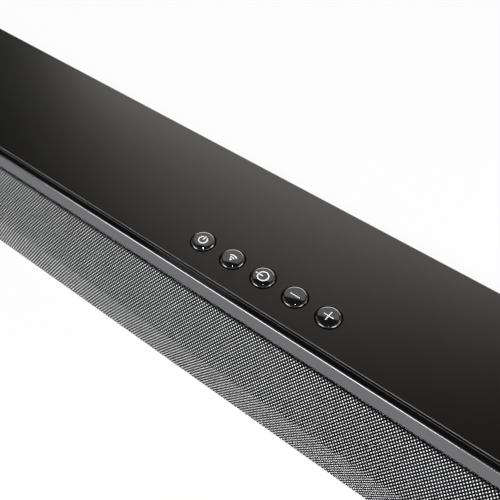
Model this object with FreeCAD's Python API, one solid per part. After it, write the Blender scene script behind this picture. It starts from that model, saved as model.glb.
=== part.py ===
"""A slim soundbar: cabinet, leaning cloth front, five deck buttons, drivers, boards and rear sockets.

Frame: X runs along the bar, -Y is the front, +Z is up. The origin is the middle of the box's underside,
at the level of the surface that the rubber feet stand on. Sizes are in millimetres.
"""
import FreeCAD, Part
import math
import os

Vector = FreeCAD.Vector

# ---- the bar's section and length ----
LENGTH = 910.0
DEPTH = 95.8
BODY_HEIGHT = 57.5
FOOT_STANDOFF = 1.5
FRONT_LEAN = 66.9
FOLD_DROP = 35.5
WALL = 2.5
END_CAP = 6.0
END_CAP_ROUND = 1.6
FIT_GAP = 0.2
SAME = 1e-6

# ---- stiffening ribs under the deck and on the cabinet's floor ----
RIB = 1.5
DECK_RIB_HEIGHT = 3.5
FLOOR_RIB_HEIGHT = 2.5
RIB_PITCH = 58.0
RIB_SETBACKS = (44.0, 20.0)
RIB_REAR_SETBACK = 5.0

# ---- deck: panel, groove, gloss strip and bezel ----
PANEL = 2.5
PANEL_FRONT_SETBACK = 19.8
PANEL_EDGE = 0.35
PANEL_REAR_ROUND = 1.0
GROOVE = 0.95
STRIP = 1.2
BEZEL_DROP = 5.2
BEZEL_WALL = 2.2
BEZEL_LIP = 0.6
BEZEL_CHAMFER = 0.35
BEZEL_LEG = 1.8
BEZEL_OVERLAP = 4.0

# ---- grille: cloth stretched over a moulded frame ----
SHADOW_GAP = 0.7
CLOTH = 0.8
CLOTH_GAP = 0.1
FRAME = 2.0
WINDOW = 38.0
WINDOW_RIB = 3.2
WINDOW_MARGIN = 4.0
PEG_RADIUS = 2.4
PEG_BESIDE = 10.5

# ---- baffle ----
BAFFLE_INSET = 11.5
BAFFLE = 3.0

# ---- buttons ----
BUTTON_ROW_SETBACK = 35.65
BUTTON_PITCH = 18.45
BUTTON_HOLE_RADIUS = 6.3
BUTTON_GAP = 0.4
BUTTON_PROUD = 1.4
BUTTON_ROUND = 0.8
BUTTON_CROWN_RADIUS = 120.0
BUTTON_TRAVEL = 0.5
BUTTON_FLANGE = 1.0
BUTTON_FLANGE_RADIUS = 7.3
BUTTON_REST_GAP = 0.3
STEM_RADIUS = 2.4
STEM_GAP = 0.08
GUIDE_WALL = 1.2
GUIDE_PLATE = 1.5
GUIDE_MARGIN = 1.0
SWITCH_SIZE = 6.2
SWITCH_HEIGHT = 3.4
PLUNGER_RADIUS = 1.7
PLUNGER_PROUD = 1.2
PLUNGER_WELL = 1.25
BOARD = 1.6
BUTTON_BOARD_DEPTH = 15.0
BUTTON_NAMES = ("power", "pairing", "source", "volume_down", "volume_up")

# ---- screws and posts ----
SCREW_RADIUS = 1.5
SCREW_CLEARANCE = 0.1
SCREW_HEAD_RADIUS = 2.8
SCREW_HEAD = 1.6
SCREW_TIP_GAP = 1.0
POST_RADIUS = 4.0
BOSS_HEIGHT = 8.0
REAR_POST_X = (130.0, 280.0)
FRONT_POST_X = (145.0,)
END_POST_INSET = 17.0
REAR_POST_SETBACK = 9.0
FRONT_POST_SETBACK = 62.0
SMALL_SCREW_RADIUS = 1.0
SMALL_HEAD_RADIUS = 2.0
SMALL_HEAD = 1.2

# ---- drivers ----
WOOFER_X = 225.0
WOOFER_LENGTH = 120.0
WOOFER_HEIGHT = 44.0
WOOFER_RIM = 5.0
WOOFER_FLANGE = 2.0
BASKET_DEPTH = 14.0
BASKET_WALL = 1.4
BASKET_FOOT = 34.0
BASKET_FIT = 0.3
BASKET_WINDOW = 18.0
BASKET_WINDOW_PITCH = 25.0
BASKET_SILL = 5.6
SURROUND_MARGIN = 1.0
SURROUND_ROLL = 3.0
SURROUND = 0.5
CONE = 0.6
CONE_DEPTH = 8.0
COIL_RADIUS = 8.0
COIL = 0.5
COIL_LENGTH = 10.0
COIL_GAP = 0.4
MAGNET_RADIUS = 14.0
MAGNET_DEPTH = 11.0
POLE_PLATE = 2.0
MAGNET_RING_GAP = 1.5
DUST_CAP_RISE = 2.4
DUST_CAP_OVERLAP = 4.0
DUST_CAP_SEAT = 1.6
TWEETER_X = 325.0
TWEETER_RADIUS = 19.0
TWEETER_FLANGE = 2.0
TWEETER_BODY_RADIUS = 14.5
TWEETER_BODY = 13.0
DOME_RADIUS = 9.5
DOME_RISE = 3.2
DOME = 0.4
DOME_TRAVEL = 0.3
DOME_EDGE = 1.4
HORN_DEPTH = 1.6
HORN_FLOOR_EDGE = 2.2
HORN_FLARE = 2.0
DRIVER_CENTRE_HEIGHT = 31.0
DRIVER_SCREW = 4.0

# ---- bass ports ----
PORT_INSET = 64.0
PORT_RADIUS = 11.0
PORT_WALL = 1.6
PORT_FLARE = 4.0
PORT_LENGTH = 52.0
PORT_HEIGHT = 24.0

# ---- boards ----
STANDOFF = 6.0
STANDOFF_RADIUS = 3.0
BOARD_LENGTH = 112.0
BOARD_DEPTH = 50.0
BOARD_X = 62.0
BOARD_REAR_SETBACK = 21.5
PARTITION_X = 138.0

# ---- parts on the boards: (length, depth, height), and places from the board's middle as (x, y) ----
AMPLIFIER = (12.0, 12.0, 1.4)
AMPLIFIER_PLACE = (-26.0, -8.0)
HEAT_SINK = (42.0, 24.0, 14.0)
FIN = 1.4
FIN_COUNT = 9
SINK_BASE = 3.0
PROCESSOR = (14.0, 14.0, 1.4)
PROCESSOR_PLACE = (20.0, 2.0)
WIRELESS = (16.0, 20.0, 2.4)
WIRELESS_PLACE = (42.0, 2.0)
CAPACITOR_RADIUS = 4.0
CAPACITOR_HEIGHT = 12.0
CAPACITOR_COUNT = 3
CAPACITOR_SPACE = 2.0
CAPACITOR_START = 6.0
SUPPLY_CAPACITOR_RADIUS = 9.0
SUPPLY_CAPACITOR_HEIGHT = 22.0
SUPPLY_CAPACITOR_COUNT = 2
SUPPLY_CAPACITOR_SPACE = 3.0
SUPPLY_CAPACITOR_START = 12.0
TRANSFORMER = (26.0, 22.0, 18.0)
TRANSFORMER_WINDING = (16.0, 28.0, 13.0)
TRANSFORMER_PLACE = (-32.0, -8.0)

# ---- rear bays and sockets ----
BAY_DEPTH = 18.0
BAY_WALL = 2.0
BAY_HEIGHT = 26.0
SOCKET_BAY_WIDTH = 92.0
POWER_BAY_WIDTH = 44.0
SOCKET_PROUD = 1.2
SOCKET_SHELL = 0.6
SOCKET_LENGTH = 13.0
SOCKET_X = {"video": -28.0, "optical": -4.0, "jack": 16.0}
VIDEO_SOCKET = (15.2, 6.0)
VIDEO_BACK = 2.0
OPTICAL_SOCKET = (9.8, 9.8)
OPTICAL_BACK = 4.0
JACK_SOCKET = (9.0, 9.0)
JACK_BORE = 1.8
JACK_BACK = 1.0
INLET_SOCKET = (19.0, 11.6)
INLET_LENGTH = 17.0
INLET_CAVITY = (16.0, 8.6)
INLET_CAVITY_DEPTH = 12.0
INLET_PIN_RADIUS = 1.2
INLET_PIN_PITCH = 8.6
INLET_PIN_SHORT = 2.0

# ---- wall hangers and bracket inserts ----
HANGER_INSET = 109.0
HANGER_HEIGHT = 40.0
HANGER_WIDTH = 30.0
HANGER_PLATE = 1.5
HANGER_TALL = 24.0
HANGER_EAR = 5.0
STAKE_RADIUS = 1.3
STAKE_HEAD_RADIUS = 2.2
STAKE_HEAD = 0.9
KEYHOLE_RADIUS = 4.6
KEYHOLE_SLOT = 2.3
KEYHOLE_RISE = 6.5
INSERT_X = 180.0
INSERT_HOLE_RADIUS = 2.5
INSERT_RADIUS = 4.0
INSERT_LENGTH = 9.0

# ---- feet ----
FOOT_INNER_X = 150.0
FOOT_END_INSET = 49.0
FOOT_RADIUS = 7.0
FOOT_RECESS = 1.0
FOOT_INSET = 14.0

# ---- levels and planes that follow from the sizes ----
LEAN = math.radians(FRONT_LEAN)
Z_FLOOR = FOOT_STANDOFF
Z_FLOOR_TOP = Z_FLOOR + WALL
Z_DECK = Z_FLOOR + BODY_HEIGHT
Z_UNDER_DECK = Z_DECK - PANEL
Z_FOLD = Z_DECK - FOLD_DROP
Y_FRONT = -DEPTH / 2
Y_REAR = DEPTH / 2
Y_REAR_WALL = Y_REAR - WALL
Y_PANEL = Y_FRONT + PANEL_FRONT_SETBACK
Y_STRIP = Y_PANEL - GROOVE
Y_BUTTONS = Y_FRONT + BUTTON_ROW_SETBACK
X_END = LENGTH / 2 - END_CAP
X_END_POST = X_END - END_POST_INSET
X_PORT = X_END - PORT_INSET
X_HANGER = X_END - HANGER_INSET
X_FOOT_END = X_END - FOOT_END_INSET
X_RIB_END = X_END - 2 * WALL
X_SIDE_PANEL = 2 * BOARD_X
Z_BEZEL_UNDER = Z_UNDER_DECK - BEZEL_LEG
Z_BAY = Z_FLOOR_TOP + STANDOFF - BAY_WALL
Y_BAY = Y_REAR - BAY_DEPTH
Y_BOARD_REAR = Y_REAR - BOARD_REAR_SETBACK
Z_BOARD = Z_FLOOR_TOP + STANDOFF
Z_BOARD_TOP = Z_BOARD + BOARD

Z_FLANGE = Z_UNDER_DECK - BUTTON_REST_GAP
Z_STEM_TOP = Z_FLANGE - BUTTON_FLANGE
Z_GUIDE_TOP = Z_STEM_TOP - BUTTON_TRAVEL - 2 * BUTTON_REST_GAP
Z_GUIDE = Z_GUIDE_TOP - GUIDE_PLATE
Z_SWITCH_TOP = Z_GUIDE - BUTTON_TRAVEL - PLUNGER_PROUD
Z_BUTTON_BOARD_TOP = Z_SWITCH_TOP - SWITCH_HEIGHT
Z_BUTTON_BOARD = Z_BUTTON_BOARD_TOP - BOARD
Z_STEM = Z_SWITCH_TOP + PLUNGER_PROUD


# ---------------------------------------------------------------- shapes that many pieces use
def box(x_range, y_range, z_range):
    """A block between two values on each axis."""
    low = Vector(x_range[0], y_range[0], z_range[0])
    return Part.makeBox(x_range[1] - x_range[0], y_range[1] - y_range[0], z_range[1] - z_range[0], low)


def post(x, y, z_range, radius):
    """An upright cylinder."""
    return Part.makeCylinder(radius, z_range[1] - z_range[0], Vector(x, y, z_range[0]))


def rod_y(x, z, y_range, radius):
    """A cylinder that lies front to back."""
    return Part.makeCylinder(radius, y_range[1] - y_range[0], Vector(x, y_range[0], z), Vector(0, 1, 0))


def section_bar(points, x_range):
    """A front-to-back section, given as (y, z) corners, drawn out along the bar."""
    corners = [Vector(x_range[0], y, z) for y, z in points]
    face = Part.Face(Part.makePolygon(corners + corners[:1]))
    return face.extrude(Vector(x_range[1] - x_range[0], 0, 0))


def cut_all(body, tools):
    """The body less every tool."""
    return body.cut(Part.makeCompound(list(tools)))


def join(pieces):
    """One solid from pieces that touch or overlap."""
    return pieces[0].fuse(pieces[1:]).removeSplitter()


def both_sides(make):
    """The left and the right copy of a piece, from a function of the side's sign."""
    return [make(side) for side in (-1, 1)]


def face_y(z, inset=0.0):
    """Where the leaning front plane, moved in by inset, stands at a height."""
    return Y_FRONT + (z - Z_FOLD) / math.tan(LEAN) + inset / math.sin(LEAN)


def fold_z(inset):
    """Height of the crease between the leaning and the upright front, moved in by inset."""
    return Z_FOLD + inset * (1 - 1 / math.sin(LEAN)) * math.tan(LEAN)


def front_band(outer, inner, z_range, x_range):
    """A folded skin that follows the front between two insets."""
    low, high = z_range
    points = [(face_y(high, outer), high), (Y_FRONT + outer, fold_z(outer)), (Y_FRONT + outer, low),
              (Y_FRONT + inner, low), (Y_FRONT + inner, fold_z(inner)), (face_y(high, inner), high)]
    return section_bar(points, x_range)


def outline(inset):
    """Corners of the bar's whole section, moved in by inset."""
    deck = Z_DECK - inset
    return [(Y_FRONT + inset, Z_FLOOR + inset), (Y_FRONT + inset, fold_z(inset)),
            (face_y(deck, inset), deck), (Y_REAR - inset, deck), (Y_REAR - inset, Z_FLOOR + inset)]


def on_baffle(shape, x):
    """Stands a driver, modelled facing +Z about its own centre, on the baffle's front face at x."""
    placed = shape.copy()
    placed.rotate(Vector(0, 0, 0), Vector(1, 0, 0), FRONT_LEAN)
    placed.translate(Vector(x, face_y(DRIVER_CENTRE_HEIGHT, BAFFLE_INSET), DRIVER_CENTRE_HEIGHT))
    return placed


def racetrack(length, height, z):
    """A closed outline with straight sides and half-round ends, in a plane at z."""
    half = (length - height) / 2
    radius = height / 2
    top = [Vector(half, radius, z), Vector(-half, radius, z)]
    low = [Vector(-half, -radius, z), Vector(half, -radius, z)]
    left = Part.Arc(top[1], Vector(-half - radius, 0, z), low[0])
    right = Part.Arc(low[1], Vector(half + radius, 0, z), top[0])
    edges = [Part.makeLine(top[0], top[1]), left.toShape(), Part.makeLine(low[0], low[1]), right.toShape()]
    return Part.Wire(edges)


def racetrack_plate(length, height, z_range):
    """A plate with the racetrack outline."""
    face = Part.Face(racetrack(length, height, z_range[0]))
    return face.extrude(Vector(0, 0, z_range[1] - z_range[0]))


def racetrack_loft(top, bottom, z_range):
    """A tapering plug between two racetracks, each given as (length, height)."""
    wires = [racetrack(bottom[0], bottom[1], z_range[0]), racetrack(top[0], top[1], z_range[1])]
    return Part.makeLoft(wires, True, True)


def revolved(points):
    """A solid of revolution about the local Z axis from (radius, z) corners."""
    corners = [Vector(r, 0, z) for r, z in points]
    face = Part.Face(Part.makePolygon(corners + corners[:1]))
    return face.revolve(Vector(0, 0, 0), Vector(0, 0, 1), 360)


def dome_shell(radius, rise, thickness, z):
    """A thin spherical cap whose rim lies at z."""
    sphere_radius = (radius * radius + rise * rise) / (2 * rise)
    centre = Vector(0, 0, z + rise - sphere_radius)
    outer = Part.makeSphere(sphere_radius, centre)
    inner = Part.makeSphere(sphere_radius - thickness, centre)
    above = post(0, 0, (z, z + 2 * rise), radius)
    return outer.cut(inner).common(above)


def rib_grid(x_range, z_range):
    """Crossing stiffening ribs: lengthwise at each setback, and crosswise about one pitch apart."""
    low, high = x_range
    lines = [Y_REAR - setback for setback in RIB_SETBACKS]
    ribs = [box((low, high), (y - RIB / 2, y + RIB / 2), z_range) for y in lines]
    spaces = max(2, round((high - low) / RIB_PITCH))
    for index in range(1, spaces):
        x = low + (high - low) * index / spaces
        ribs.append(box((x - RIB / 2, x + RIB / 2), (lines[0], Y_REAR - RIB_REAR_SETBACK), z_range))
    return ribs


# ---------------------------------------------------------------- where the repeated things stand
def button_x():
    """Centres of the five buttons, power first at the left."""
    middle = (len(BUTTON_NAMES) - 1) / 2
    return [(index - middle) * BUTTON_PITCH for index in range(len(BUTTON_NAMES))]


def case_posts():
    """Centres of the posts that the case screws hold, as (x, y)."""
    rows = [(x, REAR_POST_SETBACK) for x in REAR_POST_X + (X_END_POST,)]
    rows += [(x, FRONT_POST_SETBACK) for x in FRONT_POST_X + (X_END_POST,)]
    return [(side * x, Y_REAR - setback) for x, setback in rows for side in (-1, 1)]


def foot_places():
    """Centres of the rubber feet, as (x, y)."""
    rows = (Y_FRONT + FOOT_INSET, Y_REAR - FOOT_INSET)
    return [(side * x, y) for x in (FOOT_INNER_X, X_FOOT_END) for side in (-1, 1) for y in rows]


def board_screw_places(side):
    """Corners where a board of the given side is screwed down, as (x, y)."""
    reach = BOARD_LENGTH / 2 - STANDOFF_RADIUS
    rows = (Y_BOARD_REAR - BOARD_DEPTH + STANDOFF_RADIUS, Y_BOARD_REAR - STANDOFF_RADIUS - SOCKET_PROUD)
    return [(side * BOARD_X + end * reach, y) for end in (-1, 1) for y in rows]


def peg_places():
    """Where the grille's pegs stand: beside the button module and the drivers."""
    right = [guide_half_length() + 2 * PEG_BESIDE, WOOFER_X - WOOFER_LENGTH / 2 - PEG_BESIDE,
             (WOOFER_X + WOOFER_LENGTH / 2 + TWEETER_X - TWEETER_RADIUS) / 2,
             TWEETER_X + TWEETER_RADIUS + PEG_BESIDE, X_END - 2 * PEG_BESIDE]
    return [side * x for side in (-1, 1) for x in right]


def guide_half_length():
    """Half the length of the button guide's tray."""
    return button_x()[-1] + BUTTON_FLANGE_RADIUS + GUIDE_MARGIN + GUIDE_WALL


def guide_screw_x():
    """Where the button board's screws stand: between the outer two buttons at each end."""
    places = button_x()
    return [(places[0] + places[1]) / 2, (places[-2] + places[-1]) / 2]


def woofer_screws():
    """Local centres of a woofer's screws on its rim."""
    reach = WOOFER_LENGTH / 4
    edge = WOOFER_HEIGHT / 2 - WOOFER_RIM / 2
    return [(x, y) for x in (-reach, reach) for y in (-edge, edge)]


def tweeter_screws():
    """Local centres of a tweeter's screws on its rim."""
    edge = (TWEETER_RADIUS + TWEETER_BODY_RADIUS) / 2
    return [(edge * math.cos(math.radians(a)), edge * math.sin(math.radians(a))) for a in (45, 135, 225, 315)]


# ---------------------------------------------------------------- case
def bottom_cabinet():
    """Floor tray with chamber walls, ribs, screw bosses, board standoffs and recesses for the feet."""
    y_floor = Y_FRONT + CLOTH + CLOTH_GAP + FRAME + FIT_GAP
    floor = box((-X_END, X_END), (y_floor, Y_REAR), (Z_FLOOR, Z_FLOOR_TOP))
    parts = [floor]
    behind_baffle = BAFFLE_INSET + BAFFLE
    high = Z_BEZEL_UNDER - FIT_GAP
    wall_section = [(face_y(Z_FLOOR_TOP, behind_baffle), Z_FLOOR_TOP), (face_y(high, behind_baffle), high),
                    (Y_REAR_WALL, high), (Y_REAR_WALL, Z_FLOOR_TOP)]
    for side in (-1, 1):
        x = side * PARTITION_X
        parts.append(section_bar(wall_section, (x - WALL / 2, x + WALL / 2)))
        for place in board_screw_places(side):
            parts.append(post(place[0], place[1], (Z_FLOOR_TOP, Z_BOARD), STANDOFF_RADIUS))
        chamber = sorted((side * (PARTITION_X + WALL), side * X_RIB_END))
        parts += rib_grid(chamber, (Z_FLOOR_TOP, Z_FLOOR_TOP + FLOOR_RIB_HEIGHT))
    for x, y in case_posts():
        parts.append(post(x, y, (Z_FLOOR_TOP, Z_FLOOR_TOP + BOSS_HEIGHT), POST_RADIUS))
    cuts = []
    for x, y in case_posts():
        cuts.append(post(x, y, (Z_FLOOR, Z_FLOOR_TOP + BOSS_HEIGHT), SCREW_RADIUS + SCREW_CLEARANCE))
        cuts.append(post(x, y, (Z_FLOOR, Z_FLOOR + SCREW_HEAD + FIT_GAP), SCREW_HEAD_RADIUS + FIT_GAP))
    for x, y in foot_places():
        cuts.append(post(x, y, (Z_FLOOR, Z_FLOOR + FOOT_RECESS), FOOT_RADIUS + FIT_GAP))
    for side in (-1, 1):
        for x, y in board_screw_places(side):
            cuts.append(post(x, y, (Z_FLOOR_TOP, Z_BOARD), SMALL_SCREW_RADIUS))
    return cut_all(join(parts), cuts)


def hanger_window(side):
    """The opening in the rear panel behind which a hanger plate lies."""
    half = HANGER_WIDTH / 2 - WALL
    tall = HANGER_TALL / 2 - WALL
    return box((side * X_HANGER - half, side * X_HANGER + half), (Y_REAR_WALL, Y_REAR),
               (HANGER_HEIGHT - tall, HANGER_HEIGHT + tall))


def hanger_stake_x(side):
    """Where the two plastic stakes that hold a hanger plate stand, in the middle of its ears."""
    reach = HANGER_WIDTH / 2 + HANGER_EAR / 2
    return [side * X_HANGER - reach, side * X_HANGER + reach]


def hanger_stake(x):
    """A pin through the hanger plate, melted over to a flat head behind it."""
    y_head = Y_REAR_WALL - HANGER_PLATE
    pin = rod_y(x, HANGER_HEIGHT, (y_head, Y_REAR_WALL), STAKE_RADIUS)
    return join([pin, rod_y(x, HANGER_HEIGHT, (y_head - STAKE_HEAD, y_head), STAKE_HEAD_RADIUS)])


def rear_side_panel(side):
    """Upright back plate of one chamber: port hole, hanger window with its stakes, and the insert's boss."""
    x_range = sorted((side * X_SIDE_PANEL, side * X_END))
    plate = box(x_range, (Y_REAR_WALL, Y_REAR), (Z_FLOOR_TOP, Z_UNDER_DECK))
    x_insert = side * INSERT_X
    insert_y = (Y_REAR - INSERT_LENGTH, Y_REAR)
    boss = rod_y(x_insert, HANGER_HEIGHT, insert_y, INSERT_RADIUS + WALL)
    cuts = [hanger_window(side),
            rod_y(side * X_PORT, PORT_HEIGHT, (Y_REAR_WALL, Y_REAR), PORT_RADIUS + PORT_FLARE + PORT_WALL),
            rod_y(x_insert, HANGER_HEIGHT, insert_y, INSERT_RADIUS)]
    return cut_all(join([plate, boss] + [hanger_stake(x) for x in hanger_stake_x(side)]), cuts)


def bracket_insert(side):
    """A brass bush, moulded into the rear panel, for a wall bracket's screw."""
    bush = rod_y(side * INSERT_X, HANGER_HEIGHT, (Y_REAR - INSERT_LENGTH, Y_REAR), INSERT_RADIUS)
    hole = rod_y(side * INSERT_X, HANGER_HEIGHT, (Y_REAR - INSERT_LENGTH, Y_REAR), INSERT_HOLE_RADIUS)
    return bush.cut(hole)


def hanger_plate(side):
    """A steel plate with a keyhole, staked to the inner face of the rear panel."""
    x = side * X_HANGER
    y_range = (Y_REAR_WALL - HANGER_PLATE, Y_REAR_WALL)
    half = HANGER_WIDTH / 2 + HANGER_EAR
    plate = box((x - half, x + half), y_range,
                (HANGER_HEIGHT - HANGER_TALL / 2, HANGER_HEIGHT + HANGER_TALL / 2))
    low = HANGER_HEIGHT - KEYHOLE_RISE / 2
    high = HANGER_HEIGHT + KEYHOLE_RISE / 2 + KEYHOLE_SLOT
    slot = box((x - KEYHOLE_SLOT, x + KEYHOLE_SLOT), y_range, (low, high))
    cuts = [rod_y(x, low, y_range, KEYHOLE_RADIUS), slot, rod_y(x, high, y_range, KEYHOLE_SLOT)]
    cuts += [rod_y(place, HANGER_HEIGHT, y_range, STAKE_RADIUS) for place in hanger_stake_x(side)]
    return cut_all(plate, cuts)


def top_panel():
    """Satin deck plate with five button holes, ribs beneath, and the long posts for the case screws."""
    plate = box((-X_END, X_END), (Y_PANEL, Y_REAR), (Z_UNDER_DECK, Z_DECK))
    front = [edge for edge in plate.Edges if edge_at(edge, Y_PANEL, Z_DECK)]
    plate = plate.makeFillet(PANEL_EDGE, front)
    rear = [edge for edge in plate.Edges if edge_at(edge, Y_REAR, Z_DECK)]
    plate = plate.makeFillet(PANEL_REAR_ROUND, rear)
    z_post = Z_FLOOR_TOP + BOSS_HEIGHT
    posts = [post(x, y, (z_post, Z_UNDER_DECK), POST_RADIUS) for x, y in case_posts()]
    rib_z = (Z_UNDER_DECK - DECK_RIB_HEIGHT, Z_UNDER_DECK)
    ribs = rib_grid((-PARTITION_X + WALL, PARTITION_X - WALL), rib_z)
    for side in (-1, 1):
        ribs += rib_grid(sorted((side * (PARTITION_X + WALL), side * X_RIB_END)), rib_z)
    holes = [post(x, Y_BUTTONS, (Z_UNDER_DECK, Z_DECK), BUTTON_HOLE_RADIUS) for x in button_x()]
    pilots = [post(x, y, (z_post, z_post + BOSS_HEIGHT), SCREW_RADIUS) for x, y in case_posts()]
    return cut_all(join([plate] + posts + ribs), holes + pilots)


def edge_at(edge, y, z):
    """Whether an edge runs along the bar at the given y and z."""
    extent = edge.BoundBox
    upright = abs(extent.YMin - y) < SAME and abs(extent.YMax - y) < SAME
    level = abs(extent.ZMin - z) < SAME and abs(extent.ZMax - z) < SAME
    return upright and level


def case_screw(x, y):
    """A screw that comes up through the floor's boss into the deck's post."""
    head_top = Z_FLOOR + FIT_GAP + SCREW_HEAD
    head = post(x, y, (Z_FLOOR + FIT_GAP, head_top), SCREW_HEAD_RADIUS)
    shank = post(x, y, (head_top, Z_FLOOR_TOP + 2 * BOSS_HEIGHT - SCREW_TIP_GAP), SCREW_RADIUS)
    return join([head, shank])


def foot(x, y):
    """A round rubber foot, glued into its recess, a little tapered where it stands."""
    top = Z_FLOOR + FOOT_RECESS
    sole = FOOT_RADIUS - PANEL_EDGE
    puck = revolved([(0, 0), (sole, 0), (FOOT_RADIUS, PANEL_EDGE), (FOOT_RADIUS, top), (0, top)])
    puck.translate(Vector(x, y, 0))
    return puck


def front_bezel():
    """The grey front edge: a leaning face with a polished top edge and a leg under strip and panel."""
    z_low = Z_DECK - BEZEL_DROP
    y_top = face_y(Z_DECK)
    z_seat = Z_DECK - STRIP
    y_leg = Y_PANEL + BEZEL_OVERLAP
    y_inner_low = face_y(z_low, BEZEL_WALL)
    y_inner_high = face_y(Z_BEZEL_UNDER, BEZEL_WALL)
    z_chamfer = Z_DECK - BEZEL_CHAMFER
    points = [(y_top + BEZEL_CHAMFER, Z_DECK), (face_y(z_chamfer), z_chamfer), (face_y(z_low), z_low),
              (y_inner_low, z_low), (y_inner_high, Z_BEZEL_UNDER), (y_leg, Z_BEZEL_UNDER),
              (y_leg, Z_UNDER_DECK), (Y_PANEL - FIT_GAP, Z_UNDER_DECK), (Y_PANEL - FIT_GAP, z_seat),
              (y_top + BEZEL_CHAMFER + BEZEL_LIP, z_seat), (y_top + BEZEL_CHAMFER + BEZEL_LIP, Z_DECK)]
    return section_bar(points, (-X_END, X_END))


def trim_strip():
    """The gloss strip that lies in the bezel's seat, with a fine round on its rear edge."""
    y_range = (face_y(Z_DECK) + BEZEL_CHAMFER + BEZEL_LIP, Y_STRIP)
    strip = box((-X_END, X_END), y_range, (Z_DECK - STRIP, Z_DECK))
    rear = [edge for edge in strip.Edges if edge_at(edge, Y_STRIP, Z_DECK)]
    return strip.makeFillet(PANEL_EDGE, rear)


def end_cap(side):
    """A hollow cap with rounded outer edges and a rim that goes inside the case."""
    x_inner = side * X_END
    x_outer = side * LENGTH / 2
    cap = section_bar(outline(0), (x_inner, x_outer))
    outer_edges = [edge for edge in cap.Edges
                   if abs(edge.BoundBox.XMin - x_outer) < SAME and abs(edge.BoundBox.XMax - x_outer) < SAME]
    cap = cap.makeFillet(END_CAP_ROUND, outer_edges)
    pocket = section_bar(outline(WALL), (x_inner, x_outer - side * WALL))
    y_rim = face_y(Z_BEZEL_UNDER, BAFFLE_INSET + BAFFLE) + FIT_GAP
    y_back = Y_REAR_WALL - FIT_GAP
    z_low = Z_FLOOR_TOP + FIT_GAP
    z_high = Z_UNDER_DECK - FIT_GAP
    x_range = sorted((x_inner - side * WALL, x_outer - side * WALL))
    rim = box(x_range, (y_rim, y_back), (z_low, z_high))
    hollow = box(x_range, (y_rim + WALL, y_back - WALL), (z_low + WALL, z_high - WALL))
    return join([cap.cut(pocket), rim.cut(hollow)])


# ---------------------------------------------------------------- front
def grille_range():
    """Lowest and highest level of the cloth and its frame."""
    return (Z_FLOOR, Z_DECK - BEZEL_DROP - SHADOW_GAP)


def grille_cloth():
    """The woven cloth, stretched over the frame in two flat facets with a crease between."""
    return front_band(0, CLOTH, grille_range(), (-X_END + FIT_GAP, X_END - FIT_GAP))


def grille_frame():
    """The moulded frame behind the cloth: two rows of windows between ribs, and pegs to the baffle."""
    outer = CLOTH + CLOTH_GAP
    inner = outer + FRAME
    low, high = grille_range()
    skin = front_band(outer, inner, (low, high), (-X_END + FIT_GAP, X_END - FIT_GAP))
    pitch = WINDOW + WINDOW_RIB
    count = int((2 * X_END - 2 * WINDOW_MARGIN) // pitch)
    windows = []
    for index in range(count):
        x = (index - (count - 1) / 2) * pitch
        x_range = (x - WINDOW / 2, x + WINDOW / 2)
        z_upper = (fold_z(inner) + WINDOW_MARGIN, high - WINDOW_MARGIN)
        upper = [(face_y(z_upper[0], 0), z_upper[0]), (face_y(z_upper[1], 0), z_upper[1]),
                 (face_y(z_upper[1], 2 * inner), z_upper[1]), (face_y(z_upper[0], 2 * inner), z_upper[0])]
        windows.append(section_bar(upper, x_range))
        z_lower = (low + WINDOW_MARGIN, fold_z(inner) - WINDOW_MARGIN / 2)
        windows.append(box(x_range, (Y_FRONT, Y_FRONT + 2 * inner), z_lower))
    pegs = [grille_peg(x, high - WINDOW_MARGIN / 2, inner) for x in peg_places()]
    return join([cut_all(skin, windows)] + pegs)


def grille_peg(x, z, inner):
    """A peg that stands back from the frame's top edge to the face of the baffle."""
    start = Vector(x, face_y(z, inner - FRAME / 2), z)
    back = Vector(0, math.sin(LEAN), -math.cos(LEAN))
    length = BAFFLE_INSET - inner + FRAME / 2
    return Part.makeCylinder(PEG_RADIUS, length, start, back)


def front_baffle():
    """The leaning board that carries the drivers, notched at the top for the button module."""
    rear = BAFFLE_INSET + BAFFLE
    low, high = Z_FLOOR_TOP, Z_BEZEL_UNDER
    points = [(face_y(low, BAFFLE_INSET), low), (face_y(high, BAFFLE_INSET), high),
              (face_y(high, rear), high), (face_y(low, rear), low)]
    board = section_bar(points, (-X_END, X_END))
    notch_half = guide_half_length() + 2 * GUIDE_MARGIN
    notch = box((-notch_half, notch_half), (Y_FRONT, Y_REAR), (Z_BUTTON_BOARD - GUIDE_MARGIN, Z_DECK))
    cuts = [notch]
    through = (-2 * BAFFLE, BAFFLE)
    hole = racetrack_plate(WOOFER_LENGTH - 2 * WOOFER_RIM, WOOFER_HEIGHT - 2 * WOOFER_RIM, through)
    round_hole = post(0, 0, through, TWEETER_BODY_RADIUS + BASKET_FIT)
    for side in (-1, 1):
        cuts.append(on_baffle(hole, side * WOOFER_X))
        cuts.append(on_baffle(round_hole, side * TWEETER_X))
        for x, place in driver_screw_places(side):
            pilot = post(place[0], place[1], (-DRIVER_SCREW, DRIVER_SCREW), SMALL_SCREW_RADIUS)
            cuts.append(on_baffle(pilot, x))
    return cut_all(board, cuts)


# ---------------------------------------------------------------- drivers
def driver_screw_places(side):
    """Every driver screw of one side, as (driver's x, local centre)."""
    woofer = [(side * WOOFER_X, place) for place in woofer_screws()]
    tweeter = [(side * TWEETER_X, place) for place in tweeter_screws()]
    return woofer + tweeter


def driver_screw(x, place, flange):
    """A small screw through a driver's rim into the baffle."""
    head = post(place[0], place[1], (flange, flange + SMALL_HEAD), SMALL_HEAD_RADIUS)
    shank = post(place[0], place[1], (flange - DRIVER_SCREW, flange), SMALL_SCREW_RADIUS)
    return on_baffle(join([head, shank]), x)


def surround_outer():
    """Length and height of the surround where it is glued to the rim."""
    edge = WOOFER_RIM + SURROUND_MARGIN
    return (WOOFER_LENGTH - 2 * edge, WOOFER_HEIGHT - 2 * edge)


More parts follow.
